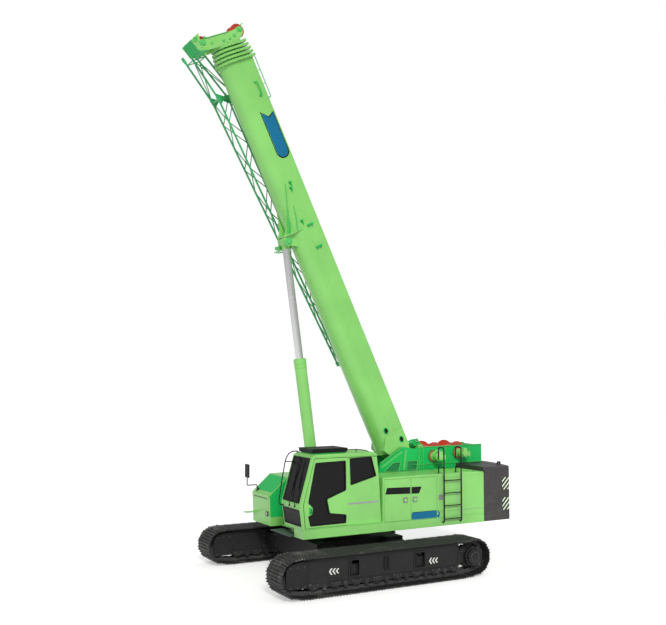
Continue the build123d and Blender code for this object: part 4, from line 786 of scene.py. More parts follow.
# ---------------------------------------------------------------- track frames
FACE = 0.186                       # frame's outer face from the track's middle
ROLLER_PITCH = 0.4757              # between two bottom rollers
DRIVE = (-2.1, 0.42)               # x and z of the drive sprocket
for side_name, side in SIDES:
    middle = side * TRACK_Y
    trim, caps, fittings = Form(), Form(), Form()
    bolts = []
    for face in (-1, 1):
        flat = along_y(middle + face * FACE)
        out = Vector((0, face, 0))
        for x, wide in ((0.795, 0.21), (-0.76, 0.24)):
            outer = rect(x - wide / 2 - 0.028, x + wide / 2 + 0.028, 0.30, 0.65)
            inner = rect(x - wide / 2, x + wide / 2, 0.328, 0.622)
            trim.banded(outer, inner, flat, 0.012, face)
        # stiffening bar under the top edge, the lower guard and the straps at both ends
        trim.raised(((1.80, 0.700), (1.49, 0.716), (-1.69, 0.716), (-1.69, 0.694), (1.48, 0.694),
                     (1.80, 0.68)), flat, 0.01, face)
        trim.raised(rect(1.36, -1.66, 0.268, 0.246), flat, 0.014, face)
        trim.raised(rect(1.812, 1.786, 0.21, 0.69), flat, 0.008, face)
        trim.raised(rect(-1.742, -1.72, 0.31, 0.68), flat, 0.008, face)
        for k in range(8):
            # roller end caps in their brackets, with a guide tab between two of them
            x = 0.035 + (k - 3.5) * ROLLER_PITCH
            caps.prism(((x - 0.115, 0.268), (x - 0.100, 0.200), (x - 0.060, 0.150), (x + 0.060, 0.150),
                        (x + 0.100, 0.200), (x + 0.115, 0.268)), flat, -face * 0.030, face * 0.012)
            caps.turned(((0.052, 0.008), (0.052, 0.022), (0.038, 0.028), (0.020, 0.028)),
                        (x, middle + face * FACE, 0.205), out, sides=18)
            for u in (x - 0.080, x + 0.080):
                bolts.append((Vector((u, middle + face * (FACE + 0.012), 0.240)), out, X))
            if k < 7:
                caps.prism(((x + 0.190, 0.246), (x + 0.200, 0.130), (x + 0.275, 0.130), (x + 0.285, 0.246)),
                           flat, -face * 0.040, face * 0.004)
        for x in (0.875, -0.665):
            # tension fitting on a pocket's edge
            fittings.raised(((x - 0.018, 0.34), (x + 0.018, 0.34), (x + 0.026, 0.42), (x + 0.012, 0.47),
                             (x + 0.026, 0.52), (x + 0.018, 0.61), (x - 0.018, 0.61), (x - 0.026, 0.52),
                             (x - 0.012, 0.47), (x - 0.026, 0.42)), flat, 0.02, face)
        for x in (0.000, 0.082):
            fittings.raised(((x - 0.012, 0.36), (x + 0.012, 0.36), (x + 0.034, 0.49), (x + 0.012, 0.63),
                             (x - 0.012, 0.63), (x - 0.034, 0.49)), flat, 0.024, face)
        for x in (1.90, 2.05, 2.20):
            for z in (0.225, 0.60):
                bolts.append((Vector((x, middle + face * (FACE - 0.003), z)), out, X))
    trim.rounded(0.002, 1).made("frame_trim_" + side_name, "frame", "undercarriage")
    caps.rounded(0.002, 1).made("roller_caps_" + side_name, "track", "undercarriage")
    fittings.rounded(0.003, 1).made("tension_fittings_" + side_name, "rubber", "undercarriage")
    drive = (DRIVE[0], middle + side * 0.294, DRIVE[1])
    flange = (DRIVE[0], middle + side * 0.234, DRIVE[1])
    hub = Form()
    hub.turned(((0.150, -0.001), (0.150, 0.006), (0.120, 0.010)), drive, Y * side, sides=8,
               start=(0.924, 0, 0.383))
    hub.turned(((0.052, 0), (0.052, 0.016), (0.040, 0.022)), drive, Y * side, sides=16)
    hub.ring(0.196, 0.176, -0.002, 0.006, flange, Y * side)
    hub.rounded(0.002, 1).made("drive_cover_" + side_name, "frame", "undercarriage")
    bolts += circle_of(12, 0.098, Vector(drive) + Y * (side * 0.009), Y * side)
    bolts += circle_of(18, 0.186, Vector(flange) + Y * (side * 0.005), Y * side)
    fasteners("frame_bolts_" + side_name, BOLT, bolts, "roller", "undercarriage", size=0.026)

# pale arrow marks on the outer faces
for side_name, side in SIDES:
    arrows = Form()
    flat = along_y(side * (TRACK_Y + FACE))
    for x0, way, z0 in ((1.37, -1, 0.455), (-0.99, -1, 0.425)):
        for k in range(3):
            tip = x0 + way * 0.075 * k
            high = 0.062 - 0.006 * k
            arrows.raised(((tip, z0), (tip + way * 0.045, z0 + high), (tip + way * 0.080, z0 + high),
                           (tip + way * 0.036, z0), (tip + way * 0.080, z0 - high),
                           (tip + way * 0.045, z0 - high)), flat, 0.0015, side)
    arrows.made("arrow_marks_" + side_name, "white", "undercarriage")

# ---------------------------------------------------------------- car body
body_trim = Form()
for x in (-0.85, 0.85):
    for side in (-1, 1):
        # collars where the cross beams slide into the car body, and their clamp lugs
        sleeve = lambda u, v, w, s=side: (u, s * (0.94 + w), v)
        half, low, high = 0.165, 0.36, 0.64
        outer = rect(x - half - 0.055, x + half + 0.055, low - 0.05, high + 0.05)
        inner = rect(x - half - 0.001, x + half + 0.001, low - 0.001, high + 0.001)
        body_trim.frame(outer, inner, sleeve, 0, 0.035)
        for u in (x - 0.12, x + 0.12):
            body_trim.prism(rect(u - 0.014, u + 0.014, high + 0.04, high + 0.11), sleeve, -0.05, 0.025)
        # foot plates where the beams meet the track frames
        plate = lambda u, v, w, s=side: (u, s * (TRACK_Y - FACE - w), v)
        body_trim.raised(rect(x - 0.24, x + 0.24, 0.30, 0.70), plate, 0.022)
body_trim.rounded(0.003, 1).made("carbody_trim", "frame", "undercarriage")
beam_bolts = []
for x in (-0.85, 0.85):
    for side in (-1, 1):
        y = side * (TRACK_Y - FACE - 0.022)
        for u in (x - 0.21, x + 0.21):
            beam_bolts += row_of(4, (u, y, 0.34), (u, y, 0.66), Y * -side)
beam_bolts += circle_of(40, 0.665, (0, 0, 0.868), Z)
fasteners("carbody_bolts", BOLT, beam_bolts, "roller", "undercarriage", size=0.03)


# ---------------------------------------------------------------- cab
def inset(outline, distance):
    """The outline moved inward by a distance (outward where it is negative), corners kept sharp."""
    area = sum(a[0] * b[1] - b[0] * a[1] for a, b in zip(outline, outline[1:] + outline[:1]))
    way = 1 if area > 0 else -1
    count = len(outline)
    moved = []
    for i in range(count):
        before, here, after = (Vector(outline[(i + k) % count]) for k in (-1, 0, 1))
        a = (here - before).normalized()
        b = (after - here).normalized()
        normal_a = Vector((-a.y, a.x)) * way
        normal_b = Vector((-b.y, b.x)) * way
        share = distance / max(0.25, 1 + normal_a.dot(normal_b))
        moved.append(tuple(here + (normal_a + normal_b) * share))
    return moved


def softened(outline, radius, steps=3):
    """The outline with its corners rounded."""
    count = len(outline)
    soft = []
    for i in range(count):
        before, here, after = (Vector(outline[(i + k) % count]) for k in (-1, 0, 1))
        reach = min(radius, (before - here).length * 0.45, (after - here).length * 0.45)
        start = here + (before - here).normalized() * reach
        end = here + (after - here).normalized() * reach
        for k in range(steps + 1):
            t = k / steps
            soft.append(tuple(start * (1 - t) ** 2 + here * 2 * t * (1 - t) + end * t * t))
    return soft


SIDE_Y = 1.35                      # the left side's flat face
CAB_INNER = 0.52                   # the cab's inner wall
CAB_ROOF = 2.645
HOUSING_ROOF = 2.09
DOOR_WINDOW = [(1.304, 2.473), (0.616, 2.488), (0.608, 1.904), (1.055, 1.748), (0.99, 1.449), (0.602, 1.395),
               (0.608, 1.243), (1.42, 1.236), (1.466, 1.423), (1.375, 1.446), (1.357, 1.594), (1.466, 1.698)]
QUARTER_WINDOW = [(0.473, 2.522), (-0.038, 2.54), (-0.15, 2.145), (0.455, 1.993)]
DOOR_EDGE = [(0.553, 1.19), (0.553, 2.56), (1.33, 2.56), (1.578, 1.65), (1.53, 1.19)]
INNER_PANE = [(0.06, 1.7), (-0.02, 2.5), (1.25, 2.5), (1.48, 1.7)]
SET_IN = 0.051                     # the quarter panel's depth behind the door's face


def sealed(form, outline, place, out, wide=0.013, high=0.005):
    """A rubber bead all round an opening, half on the panel and half on the glass."""
    form.banded(softened(inset(outline, -wide), 0.03), softened(inset(outline, wide), 0.02), place, high, out)


def lipped(form, outline, place, out, low=0.013, wide=0.026, high=0.004):
    """The pressed lip that stands round a window outside its rubber."""
    form.banded(softened(inset(outline, -wide), 0.035), softened(inset(outline, -low), 0.03), place, high,
                out)


seals, lips = Form(), Form()
sealed(seals, DOOR_WINDOW, along_y(SIDE_Y), 1)
lipped(lips, DOOR_WINDOW, along_y(SIDE_Y), 1)
lips.banded(inset(DOOR_EDGE, 0.004), inset(DOOR_EDGE, 0.020), along_y(SIDE_Y), 0.003)
lips.rounded(0.0012, 1).made("door_lip", "body", "cab_door")
seals.rounded(0.0015, 1).made("door_seal", "rubber", "cab_door")

lock_plate = Form()
handle = Form()
pull = softened([(1.385, 1.47), (1.445, 1.46), (1.455, 1.60), (1.395, 1.59)], 0.012)
lock_plate.raised(pull, along_y(SIDE_Y), 0.016)
lock_plate.prism(softened([(1.40, 1.50), (1.435, 1.50), (1.44, 1.56), (1.405, 1.56)], 0.01), along_y(SIDE_Y),
                 0.0, 0.024)
# the lock plate takes the body green's shaded copy: painted shade
lock_plate.rounded(0.003).made("door_lock_plate", "deep", "cab_door")
handle.tube([(1.412, SIDE_Y + 0.012, 1.500), (1.412, SIDE_Y + 0.034, 1.503), (1.418, SIDE_Y + 0.034, 1.560),
             (1.418, SIDE_Y + 0.012, 1.563)], 0.005)
handle.turned(((0.013, 0), (0.013, 0.008), (0.009, 0.010)), (1.432, SIDE_Y + 0.010, 1.50), Y, sides=16)
handle.made("door_handle", "plastic", "cab_door")

quarter, quarter_lip = Form(), Form()
sealed(quarter, QUARTER_WINDOW, along_y(SIDE_Y - SET_IN), 1)
lipped(quarter_lip, QUARTER_WINDOW, along_y(SIDE_Y - SET_IN), 1)
sealed(quarter, INNER_PANE, along_y(CAB_INNER), -1)
lipped(quarter_lip, INNER_PANE, along_y(CAB_INNER), -1)


def front_x(z):
    """X of the cab's front at this height."""
    if z > 1.65:
        return 1.664 + (1.392 - 1.664) * (z - 1.65) / 0.94
    return 1.59 + (1.664 - 1.59) * (z - 1.156) / 0.494


def on_front(u, v, w):
    """Place on the cab's front: u runs across (Y), v is the height, w stands out of the face."""
    return (front_x(v) + w, u, v)


PANE_LEFT, PANE_RIGHT = 1.290, 0.564
SCREENS = ((1.70, 2.56), (1.235, 1.545))
for low, high in SCREENS:
    pane = rect(PANE_RIGHT, PANE_LEFT, low, high)
    sealed(quarter, pane, on_front, 1, wide=0.014, high=0.004)
    lipped(quarter_lip, pane, on_front, 1, low=0.014, wide=0.022, high=0.003)
# division of the windscreen's top pane
quarter.prism(rect(PANE_RIGHT, PANE_LEFT, 2.395, 2.42), on_front, -0.018, -0.004)
quarter.made("cab_seals", "rubber")
film = Form()
film.prism(rect(PANE_RIGHT + 0.012, PANE_LEFT - 0.012, 1.247, 1.440), on_front, -0.013, -0.008)
film.prism(rect(PANE_RIGHT + 0.002, PANE_LEFT - 0.002, 1.455, 1.540), on_front, -0.013, 0.004)
film.rounded(0.002, 1).made("lower_pane_shade", "mark", slot="glass")
quarter_lip.rounded(0.0012, 1).made("cab_lips", "body")

# bar under the windscreen, the drip rails and the sill
sill = Form()
sill.prism(rect(0.575, 1.300, 1.600, 1.655), on_front, -0.002, 0.020)
sill.prism(rect(-0.08, 1.33, 2.592, 2.606), along_y(SIDE_Y), -0.03, 0.006)
sill.prism(rect(-0.30, 1.60, 1.170, 1.182), along_y(SIDE_Y), -0.05, 0.006)
sill.prism(rect(0.54, 1.33, 2.585, 2.602), on_front, -0.03, 0.012)
# roof hatch and its raised rim
sill.banded(softened(rect(0.62, 1.20, 0.66, 1.20), 0.05), softened(rect(0.65, 1.17, 0.69, 1.17), 0.04),
            over(CAB_ROOF), 0.03)
sill.raised(softened(rect(0.655, 1.165, 0.695, 1.165), 0.04), over(CAB_ROOF), 0.018)
# pressed ribs on the roof behind the hatch
for y in (0.62, 0.80, 1.02, 1.24):
    sill.prism(((-0.02, 2.644), (0.48, 2.644), (0.47, 2.652), (-0.01, 2.652)), along_y(y), -0.018, 0.018)
sill.rounded(0.003, 1).made("cab_trim", "body")

# wipers
wipers = Form()
for foot, top, blade in (((0.92, 1.62), (0.80, 2.28), 0.30), ((1.16, 1.62), (1.06, 2.24), 0.28)):
    spots = [on_front(foot[0] + (top[0] - foot[0]) * t, foot[1] + (top[1] - foot[1]) * t, 0.030 - 0.012 * t)
             for t in (0, 0.15, 0.55, 1)]
    wipers.tube(spots, 0.008, sides=6)
    wipers.turned(((0.024, -0.002), (0.024, 0.030), (0.014, 0.040)), on_front(foot[0], foot[1], 0),
                  (1, 0, 0.1), sides=14)
    for offset in (-0.006, 0.006):
        wipers.tube([on_front(top[0] + offset, top[1] + k * blade, 0.011) for k in (-1, -0.5, 0, 0.5, 1)],
                    0.005, sides=5)
wipers.made("wipers", "plastic")

# roof guard: a tray in a tube frame on posts, with slats across it
GUARD_Z = 2.738
guard = Form()
x0, x1, y0, y1 = 0.50, 1.32, 0.635, 1.235
middle, wide = (y0 + y1) / 2, (y1 - y0) / 2
tray = ((x0 + 0.01, GUARD_Z - 0.070), (x1 - 0.01, GUARD_Z - 0.070), (x1, GUARD_Z - 0.060),
        (x1, GUARD_Z - 0.004), (x0, GUARD_Z - 0.004), (x0, GUARD_Z - 0.060))
guard.prism(tray, along_y(middle), -wide, wide)
guard.tube([(x0, y0, GUARD_Z), (x1, y0, GUARD_Z), (x1, y1, GUARD_Z), (x0, y1, GUARD_Z)], 0.011, closed=True)
for x in (x0 + 0.09, x1 - 0.09):
    for y in (0.655, 1.175):
        guard.tube([(x, y, 2.643), (x, y, GUARD_Z)], 0.016)
        guard.turned(((0.034, 0), (0.034, 0.006), (0.024, 0.008)), (x, y, 2.644), Z, sides=16)
guard_frame = guard.made("roof_guard_frame", "mark")
slat = Form()
slat.prism(((-0.007, -0.006), (0.007, -0.006), (0.009, 0.006), (-0.009, 0.006)), along_y(), -wide, wide)
slat = pattern_object("guard_slat", slat)
fasteners("roof_guard_slats", slat,
          row_of(34, (x0 + 0.02, middle, GUARD_Z + 0.003), (x1 - 0.02, middle, GUARD_Z + 0.003), Z), "mark")
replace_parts(guard_frame, "roof_guard")

# guard hoop before the windscreen, on the roof and on the sill, with its tie
HOOP_Y = 0.58
hoop = Form()
HOOP = ((1.30, 2.640), (1.34, 2.668), (1.45, 2.664), (1.53, 2.622), (1.585, 2.545), (1.613, 2.464),
        (1.680, 2.13), (1.748, 1.70), (1.757, 1.64), (1.735, 1.597), (1.69, 1.583), (1.650, 1.590))
hoop.tube([(x, HOOP_Y, z) for x, z in HOOP], 0.012)
hoop.tube([(1.613, HOOP_Y, 2.464), (1.425, HOOP_Y, 2.454)], 0.010)
hoop.turned(((0.032, 0), (0.032, 0.008), (0.018, 0.012)), (1.30, HOOP_Y, 2.643), Z, sides=16)
hoop.turned(((0.028, 0), (0.028, 0.008), (0.016, 0.012)), (front_x(1.59) - 0.002, HOOP_Y, 1.59), (1, 0, 0.1),
            sides=16)
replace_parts(hoop.made("hoop_bar", "frame"), "guard_hoop")
# rail on the roof behind the guard
rail = Form()
rail.tube([(0.50, 1.16, 2.70), (0.243, 1.16, 2.703), (0.032, 1.16, 2.675), (-0.06, 1.16, 2.645)], 0.009)
rail.tube([(0.243, 1.16, 2.703), (0.243, 1.16, 2.644)], 0.008)
rail.made("roof_rail", "frame")


def lamp(name, centre, toward, radius):
    """A round work lamp: a finned pot with a bezel, and a domed lens of its own."""
    toward = Vector(toward).normalized()
    pot = Form()
    pot.turned(((radius * 0.45, -0.075), (radius * 0.8, -0.070), (radius, -0.040), (radius, 0.0),
                (radius * 1.08, 0.002), (radius * 1.08, 0.014), (radius * 0.92, 0.016),
                (radius * 0.90, 0.006), (radius * 0.1, 0.002)), centre, toward, sides=20)
    for k in range(3):
        pot.ring(radius * 1.04, radius * 0.9, -0.052 + k * 0.014, -0.046 + k * 0.014, centre, toward,
                 sides=20)
    pot.made(name + "_pot", "plastic")
    lens = Form()
    lens.turned(((radius * 0.88, 0.007), (radius * 0.86, 0.011), (radius * 0.5, 0.015),
                 (radius * 0.05, 0.016)), centre, toward, sides=20)
    lens.made(name + "_lens", "lens")


# a brow along the cab roof's front edge, in the body green's shaded copy: painted shade
brow = Form()
brow.prism(((0.53, 2.642), (1.30, 2.642), (1.285, 2.664), (0.53, 2.664)), along_y(0.935), -0.275, 0.275)
brow.rounded(0.003).made("roof_brow", "deep")

# ---------------------------------------------------------------- inside the cab
CAB_MID = 0.915                    # Y of the seat's middle


def cushion(name, rings):
    """A crowned pad: subdivided rings pulled in between their corners."""
    carrier = placed(name, Form().hull(rings).data(name, 60))
    rounder = carrier.modifiers.new("rounder", "SUBSURF")
    rounder.levels = rounder.render_levels = 2
    soft = baked(carrier)
    piece = settle(name, soft, "superstructure", "fabric", "fabric")
    soft.polygons.foreach_set("use_smooth", [True] * len(soft.polygons))
    return piece


def pad_ring(x, z, half, thick, pinch=0.0):
    """One cross ring of a pad: a rounded slot shape across the seat."""
    across = ((-1, -0.5), (-0.96, 0.35), (-0.6, 0.5 - pinch), (0, 0.46 - pinch), (0.6, 0.5 - pinch),
              (0.96, 0.35), (1, -0.5), (0.55, -0.62), (0, -0.62), (-0.55, -0.62))
    return [(x, CAB_MID + u * half, z + v * thick) for u, v in across]


base = cushion("seat_base", [pad_ring(0.40, 1.60, 0.20, 0.10), pad_ring(0.44, 1.605, 0.225, 0.13),
                             pad_ring(0.60, 1.60, 0.228, 0.12, pinch=0.04), pad_ring(0.78, 1.60, 0.228, 0.13),
                             pad_ring(0.85, 1.59, 0.21, 0.10)])
back = cushion("seat_back",
               [[(0.33 - t * 0.16 + w * 0.07, CAB_MID + u * half, 1.68 + t * 0.50)
                 for u, w in ((-1, 0), (-0.8, 0.9), (-0.4, 0.7), (0, 0.62), (0.4, 0.7), (0.8, 0.9), (1, 0),
                              (0.7, -0.5), (0, -0.6), (-0.7, -0.5))]
                for t, half in ((0.0, 0.20), (0.10, 0.222), (0.5, 0.205), (0.85, 0.19), (1.0, 0.15))])
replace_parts(base, "cab_seat")
stand = Form()
stand.block((0.36, CAB_MID - 0.20, 1.20), (0.76, CAB_MID + 0.20, 1.24))
stand.block((0.42, CAB_MID - 0.17, 1.24), (0.72, CAB_MID + 0.17, 1.50))
stand.block((0.38, CAB_MID - 0.205, 1.50), (0.82, CAB_MID + 0.205, 1.53))
for side in (-1, 1):
    stand.tube([(0.36, CAB_MID + side * 0.215, 1.55), (0.27, CAB_MID + side * 0.215, 1.72)], 0.018)
stand.rounded(0.006)
for side in (-1, 1):
    stand.tube([(0.62, CAB_MID + side * 0.285, 1.715), (0.64, CAB_MID + side * 0.285, 1.82)], 0.010)
    stand.turned(((0.010, 0), (0.024, 0.02), (0.026, 0.05), (0.018, 0.075), (0.004, 0.08)),
                 (0.64, CAB_MID + side * 0.285, 1.81), (0.1, 0, 1), sides=14)
stand.made("seat_stand", "plastic")
driver_desk = Form()
driver_desk.prism(((1.35, 1.755), (1.45, 1.755), (1.43, 1.83), (1.36, 1.82)), along_y(CAB_MID), -0.15, 0.15)
driver_desk.rounded(0.008)
driver_desk.tube([(1.37, CAB_MID, 1.80), (1.24, CAB_MID, 1.90)], 0.018)
WHEEL_HUB = Vector((1.24, CAB_MID, 1.90))


def on_wheel(angle, radius):
    """Point on the tilted steering wheel."""
    return WHEEL_HUB + (Y * math.cos(angle) + Vector((0.6, 0, 0.8)) * math.sin(angle)) * radius


driver_desk.tube([on_wheel(2 * math.pi * k / 28, 0.17) for k in range(28)], 0.012, closed=True)
for angle in (0.5, 2.6, 4.7):
    driver_desk.tube([WHEEL_HUB, on_wheel(angle, 0.168)], 0.009, sides=6)
driver_desk.made("driver_desk", "plastic")

# ---------------------------------------------------------------- machinery housing
DOOR_LOW, DOOR_HIGH = 1.172, 2.052
DOORS = (("service_door_front", -1.0, -0.33, -0.861), ("service_door_rear", -1.682, -1.006, -1.105))
# dark blank plate over both doors
MARK = ((-0.354, 1.744), (-0.397, 1.879), (-1.279, 1.856), (-1.212, 1.714))


def cut_at(outline, x, keep_front):
    """The part of a convex outline ahead of x, or behind it."""
    kept = []
    for a, b in zip(outline, outline[1:] + outline[:1]):
        inside_a = (a[0] >= x) == keep_front
        inside_b = (b[0] >= x) == keep_front
        if inside_a:
            kept.append(a)
        if inside_a != inside_b:
            t = (x - a[0]) / (b[0] - a[0])
            kept.append((x, a[1] + (b[1] - a[1]) * t))
    return kept


def paddle_latch(form, x):
    """A square flush latch with a paddle in its dish."""
    flat, z, size = along_y(SIDE_Y), 1.596, 0.058
    square = lambda k: softened(rect(x - k, x + k, z - k, z + k), 0.018)
    form.banded(square(size), square(size * 0.74), flat, 0.008)
    form.raised(square(size * 0.75), flat, 0.003)
    form.prism(softened([(x - size * 0.5, z - size * 0.1), (x + size * 0.5, z - size * 0.1),
                         (x + size * 0.45, z + size * 0.55), (x - size * 0.45, z + size * 0.55)], 0.008),
               flat, 0.002, 0.009)


for name, rear, front, latch in DOORS:
    edge = rect(rear, front, DOOR_LOW, DOOR_HIGH)
    panel = Form()
    panel.banded(inset(edge, 0.004), inset(edge, 0.016), along_y(SIDE_Y), 0.003)
    panel.rounded(0.0012, 1).made(name + "_fold", "body", name)
    plate = Form()
    plate.raised(cut_at(list(MARK), -1.003 + (0.004 if front > -0.5 else -0.004), front > -0.5),
                 along_y(SIDE_Y), 0.002)
    plate.made(name + "_plate", "mark", name, slot="black")
    lock = Form()
    paddle_latch(lock, latch)
    lock.made(name + "_latch", "latch", name)

# blue blank plate with rounded ends, on the rear door and the wall behind it
whole = softened(rect(-1.745, -1.015, 1.165, 1.318), 0.062, 6)
for name, body, keep_front, cut in (("badge_door", "service_door_rear", True, -1.676),
                                    ("badge_wall", "superstructure", False, -1.694)):
    for label, edge, lift, finish in (("rim", inset(whole, -0.009), 0.0022, "mark"),
                                      ("field", whole, 0.0034, "blue")):
        piece = Form()
        piece.raised(cut_at(edge, cut, keep_front), along_y(SIDE_Y), lift)
        piece.made(name + "_" + label, finish, body, slot="body")

# the third latch, panel joints, the edges along the deck, the roof panels and their screws
ROOF_PANELS = ((-0.98, -0.33), (-1.64, -1.02), (-2.92, -1.70))
panels = Form()
lock = Form()
paddle_latch(lock, -1.79)
lock.made("rear_latch", "latch")
for low, high, wide in ((1.30, 2.035, 0.014), (DOOR_LOW, 1.285, 0.012)):
    edge = rect(-2.962, -1.702, low, high)
    panels.banded(inset(edge, 0.002), inset(edge, wide), along_y(SIDE_Y), 0.003)
for x0, x1 in ROOF_PANELS:
    edge = rect(x0, x1, 0.50, 1.27)
    panels.raised(softened(edge, 0.02), over(HOUSING_ROOF), 0.004)
panels.prism(rect(-2.96, 1.575, 1.160, 1.1685), along_y(SIDE_Y), -0.002, 0.007)
panels.prism(rect(-2.96, 1.575, 0.982, 1.000), along_y(SIDE_Y), -0.002, 0.006)
panels.rounded(0.0015, 1).made("housing_folds", "body")
screws = []
for x0, x1 in ROOF_PANELS:
    for y in (0.53, 1.24):
        screws += row_of(5, (x0 + 0.04, y, 2.094), (x1 - 0.04, y, 2.094), Z)
screws += row_of(16, (-2.93, SIDE_Y + 0.003, 1.292), (-1.73, SIDE_Y + 0.003, 1.292), Y)
fasteners("housing_screws", BOLT, screws, "steel", size=0.018)

# air outlet slats on the housing roof and intake slats on the right side box
louvre = Form()
louvre.prism(((-0.020, 0.0), (0.020, 0.0), (0.012, 0.020), (0.004, 0.022)), along_y(), -0.30, 0.30)
louvre = pattern_object("louvre", louvre)
fasteners("roof_louvres", louvre, row_of(12, (-2.75, 0.90, 2.094), (-2.15, 0.90, 2.094), Z), "body")
side_louvre = Form()
side_louvre.prism(rect(-0.24, 0.24, -0.014, 0.014),
                  lambda u, v, w: (u, v, w * 0.5 + (0.010 if v > 0 else 0.0)), 0.0, 0.020)
side_louvre = pattern_object("side_louvre", side_louvre)
vents = []
for x in (-0.55, -1.15, -1.75):
    vents += row_of(9, (x, -1.35, 1.40), (x, -1.35, 1.88), -Y, lie=X)
fasteners("side_louvres", side_louvre, vents, "body")

# right side box: door folds on the far side, the front and slope panels, and the foot plate's treads; the
# slope panel and a panel on the box's inner side carry painted shade
box = Form()
for x0, x1, z1 in ((0.10, 1.00, 1.93), (-0.85, 0.06, 1.96), (-2.0, -0.89, 1.98), (-2.93, -2.04, 1.98)):
    edge = rect(x0, x1, 1.20, z1)
    box.banded(inset(edge, 0.0), inset(edge, 0.013), along_y(-SIDE_Y), 0.004, -1)
slope = (Vector((1.05, 0, 2.01)) - Vector((1.44, 0, 1.668))).normalized()
square = Vector((-slope.z, 0, slope.x)) * -1
on_slope = lambda u, v, w: Vector((1.44, -0.9 + u, 1.668)) + slope * v + square * w
shaded_box_panels = Form()
shaded_box_panels.raised(softened(rect(-0.41, 0.425, 0.03, 0.495), 0.03), on_slope, 0.006)
box.prism(rect(-2.96, 1.45, 1.160, 1.1685), along_y(-SIDE_Y), 0.002, -0.007)
on_box_front = lambda u, v, w: (1.4602 + (v - 1.156) * 0.043 + w, u, v)
box.raised(softened(rect(-1.28, -0.52, 1.20, 1.53), 0.03), on_box_front, 0.006)
# a panel on the box's inner side, in the body green's shaded copy: painted shade
shaded_box_panels.raised([(1.455, 1.165), (1.474, 1.615), (1.432, 1.655), (1.045, 1.995), (0.30, 2.03),
                   (0.30, 1.165)], along_y(-0.45), 0.004)
box.raised(rect(-1.30, -0.48, 1.575, 1.628), on_box_front, 0.028)
shaded_box_panels.rounded(0.002, 1).made("right_box_panels", "deep")
box.rounded(0.002, 1).made("right_box_folds", "body")
gap = Form()
gap.raised([(-1.27, 1.545), (-0.62, 1.545), (-0.60, 1.555), (-1.27, 1.555)], on_box_front, 0.003)
gap.made("right_box_seam", "mark", slot="body")
treads = Form()
treads.ring(0.026, 0.016, 0.0, 0.006, (0, 0, 0), Z, sides=10)
treads = pattern_object("tread_ring", treads)
tread_spots = []
for i in range(5):
    for j in range(13):
        tread_spots.append((Vector((1.42 + i * 0.057, 0.09 + j * 0.066, 0.995)), Z, X))
fasteners("step_treads", treads, tread_spots, "step")
lamp("box_lamp", (1.480, -0.58, 1.225), (1, 0, -0.1), 0.05)

# ---------------------------------------------------------------- counterweight
stripes = Form()
for side in (-1, 1):
    for z0 in (1.20, 1.655):
        stripes.raised(rect(-3.70, -3.505, z0, z0 + 0.275), along_y(side * SIDE_Y), 0.0015, side)
stripes.made("warning_fields", "stripes")
weight = Form()
for side in (-1, 1):
    flat = along_y(side * SIDE_Y)
    weight.raised(rect(-3.695, -2.985, 1.575, 1.585), flat, 0.004, side)
    weight.raised(rect(-3.695, -2.985, 1.150, 1.158), flat, 0.004, side)
weight.banded(rect(-3.60, -3.02, -1.20, 1.20), rect(-3.585, -3.035, -1.185, 1.185), over(2.18), 0.004)
for y in (-0.95, 0.95):
    weight.ring(0.040, 0.024, -0.026, 0.026, (-3.740, y, 2.208), Y, sides=24)
weight.rounded(0.0015, 1).made("weight_trim", "weight")
for side_name, side in SIDES:
    lamp("tail_lamp_" + side_name, (-3.835, side * 0.80, 1.25), (-1, side * 0.20, 0), 0.045)

# ---------------------------------------------------------------- winch frame
WINCH_Y = 0.346                    # outer face of the frame's side plates
PORTS = ((-2.305, 2.382), (-3.010, 2.432))     # x and z of the round openings over the drums' ends
FRAME_RIM = ((-0.86, 2.29), (-1.42, 2.617), (-1.50, 2.617), (-1.83, 2.563), (-1.86, 2.605), (-3.715, 2.613))
WINDOWS = (
    ((-0.985, 2.098), (-1.19, 2.27), (-1.39, 2.288), (-1.35, 2.098)),
    ((-1.57, 2.098), (-1.58, 2.296), (-1.86, 2.29), (-1.835, 2.098)),
)


def strip_along(form, line, place, wide, low, high):
    """A flat bar that follows a line, its inner edge on the line."""
    points = [Vector(p) for p in line]
    for a, b in zip(points, points[1:]):
        along = (b - a).normalized()
        across = Vector((-along.y, along.x)) * wide
        form.prism([tuple(a), tuple(b), tuple(b + across), tuple(a + across)], place, low, high)


winch, shade = Form(), Form()
for side in (-1, 1):
    flat = along_y(side * WINCH_Y)
    # rolled edge over the plate's top, ribs down its face and a flange round each window
    strip_along(winch, FRAME_RIM[:2], flat, 0.016, -side * 0.012, side * 0.034)
    strip_along(winch, FRAME_RIM[4:], flat, 0.014, -side * 0.012, side * 0.020)
    winch.raised(((-0.915, 2.17), (-0.87, 2.20), (-1.44, 2.533), (-1.46, 2.50)), flat, 0.01, side)
    for x in (-1.90, -2.02, -2.64, -3.34):
        winch.raised(rect(x, x + 0.014, 2.10, 2.595), flat, 0.026, side)
    winch.raised(rect(-3.70, -1.745, 2.20, 2.212), flat, 0.022, side)
    winch.raised(((-1.44, 2.097), (-1.50, 2.097), (-1.57, 2.55), (-1.51, 2.55)), flat, 0.03, side)
    for window in WINDOWS:
        winch.frame(inset(list(window), -0.012), inset(list(window), 0.003), flat, -side * 0.002,
                    side * 0.020)
        # a dark green sheet just behind each window, in place of the shade beyond it: painted shade
        shade.prism(inset(list(window), 0.001), flat, -side * 0.0155, -side * 0.012)
winch.rounded(0.002, 1).made("winch_frame_ribs", "rim", slot="body")
shade.made("winch_window_depth", "shade")

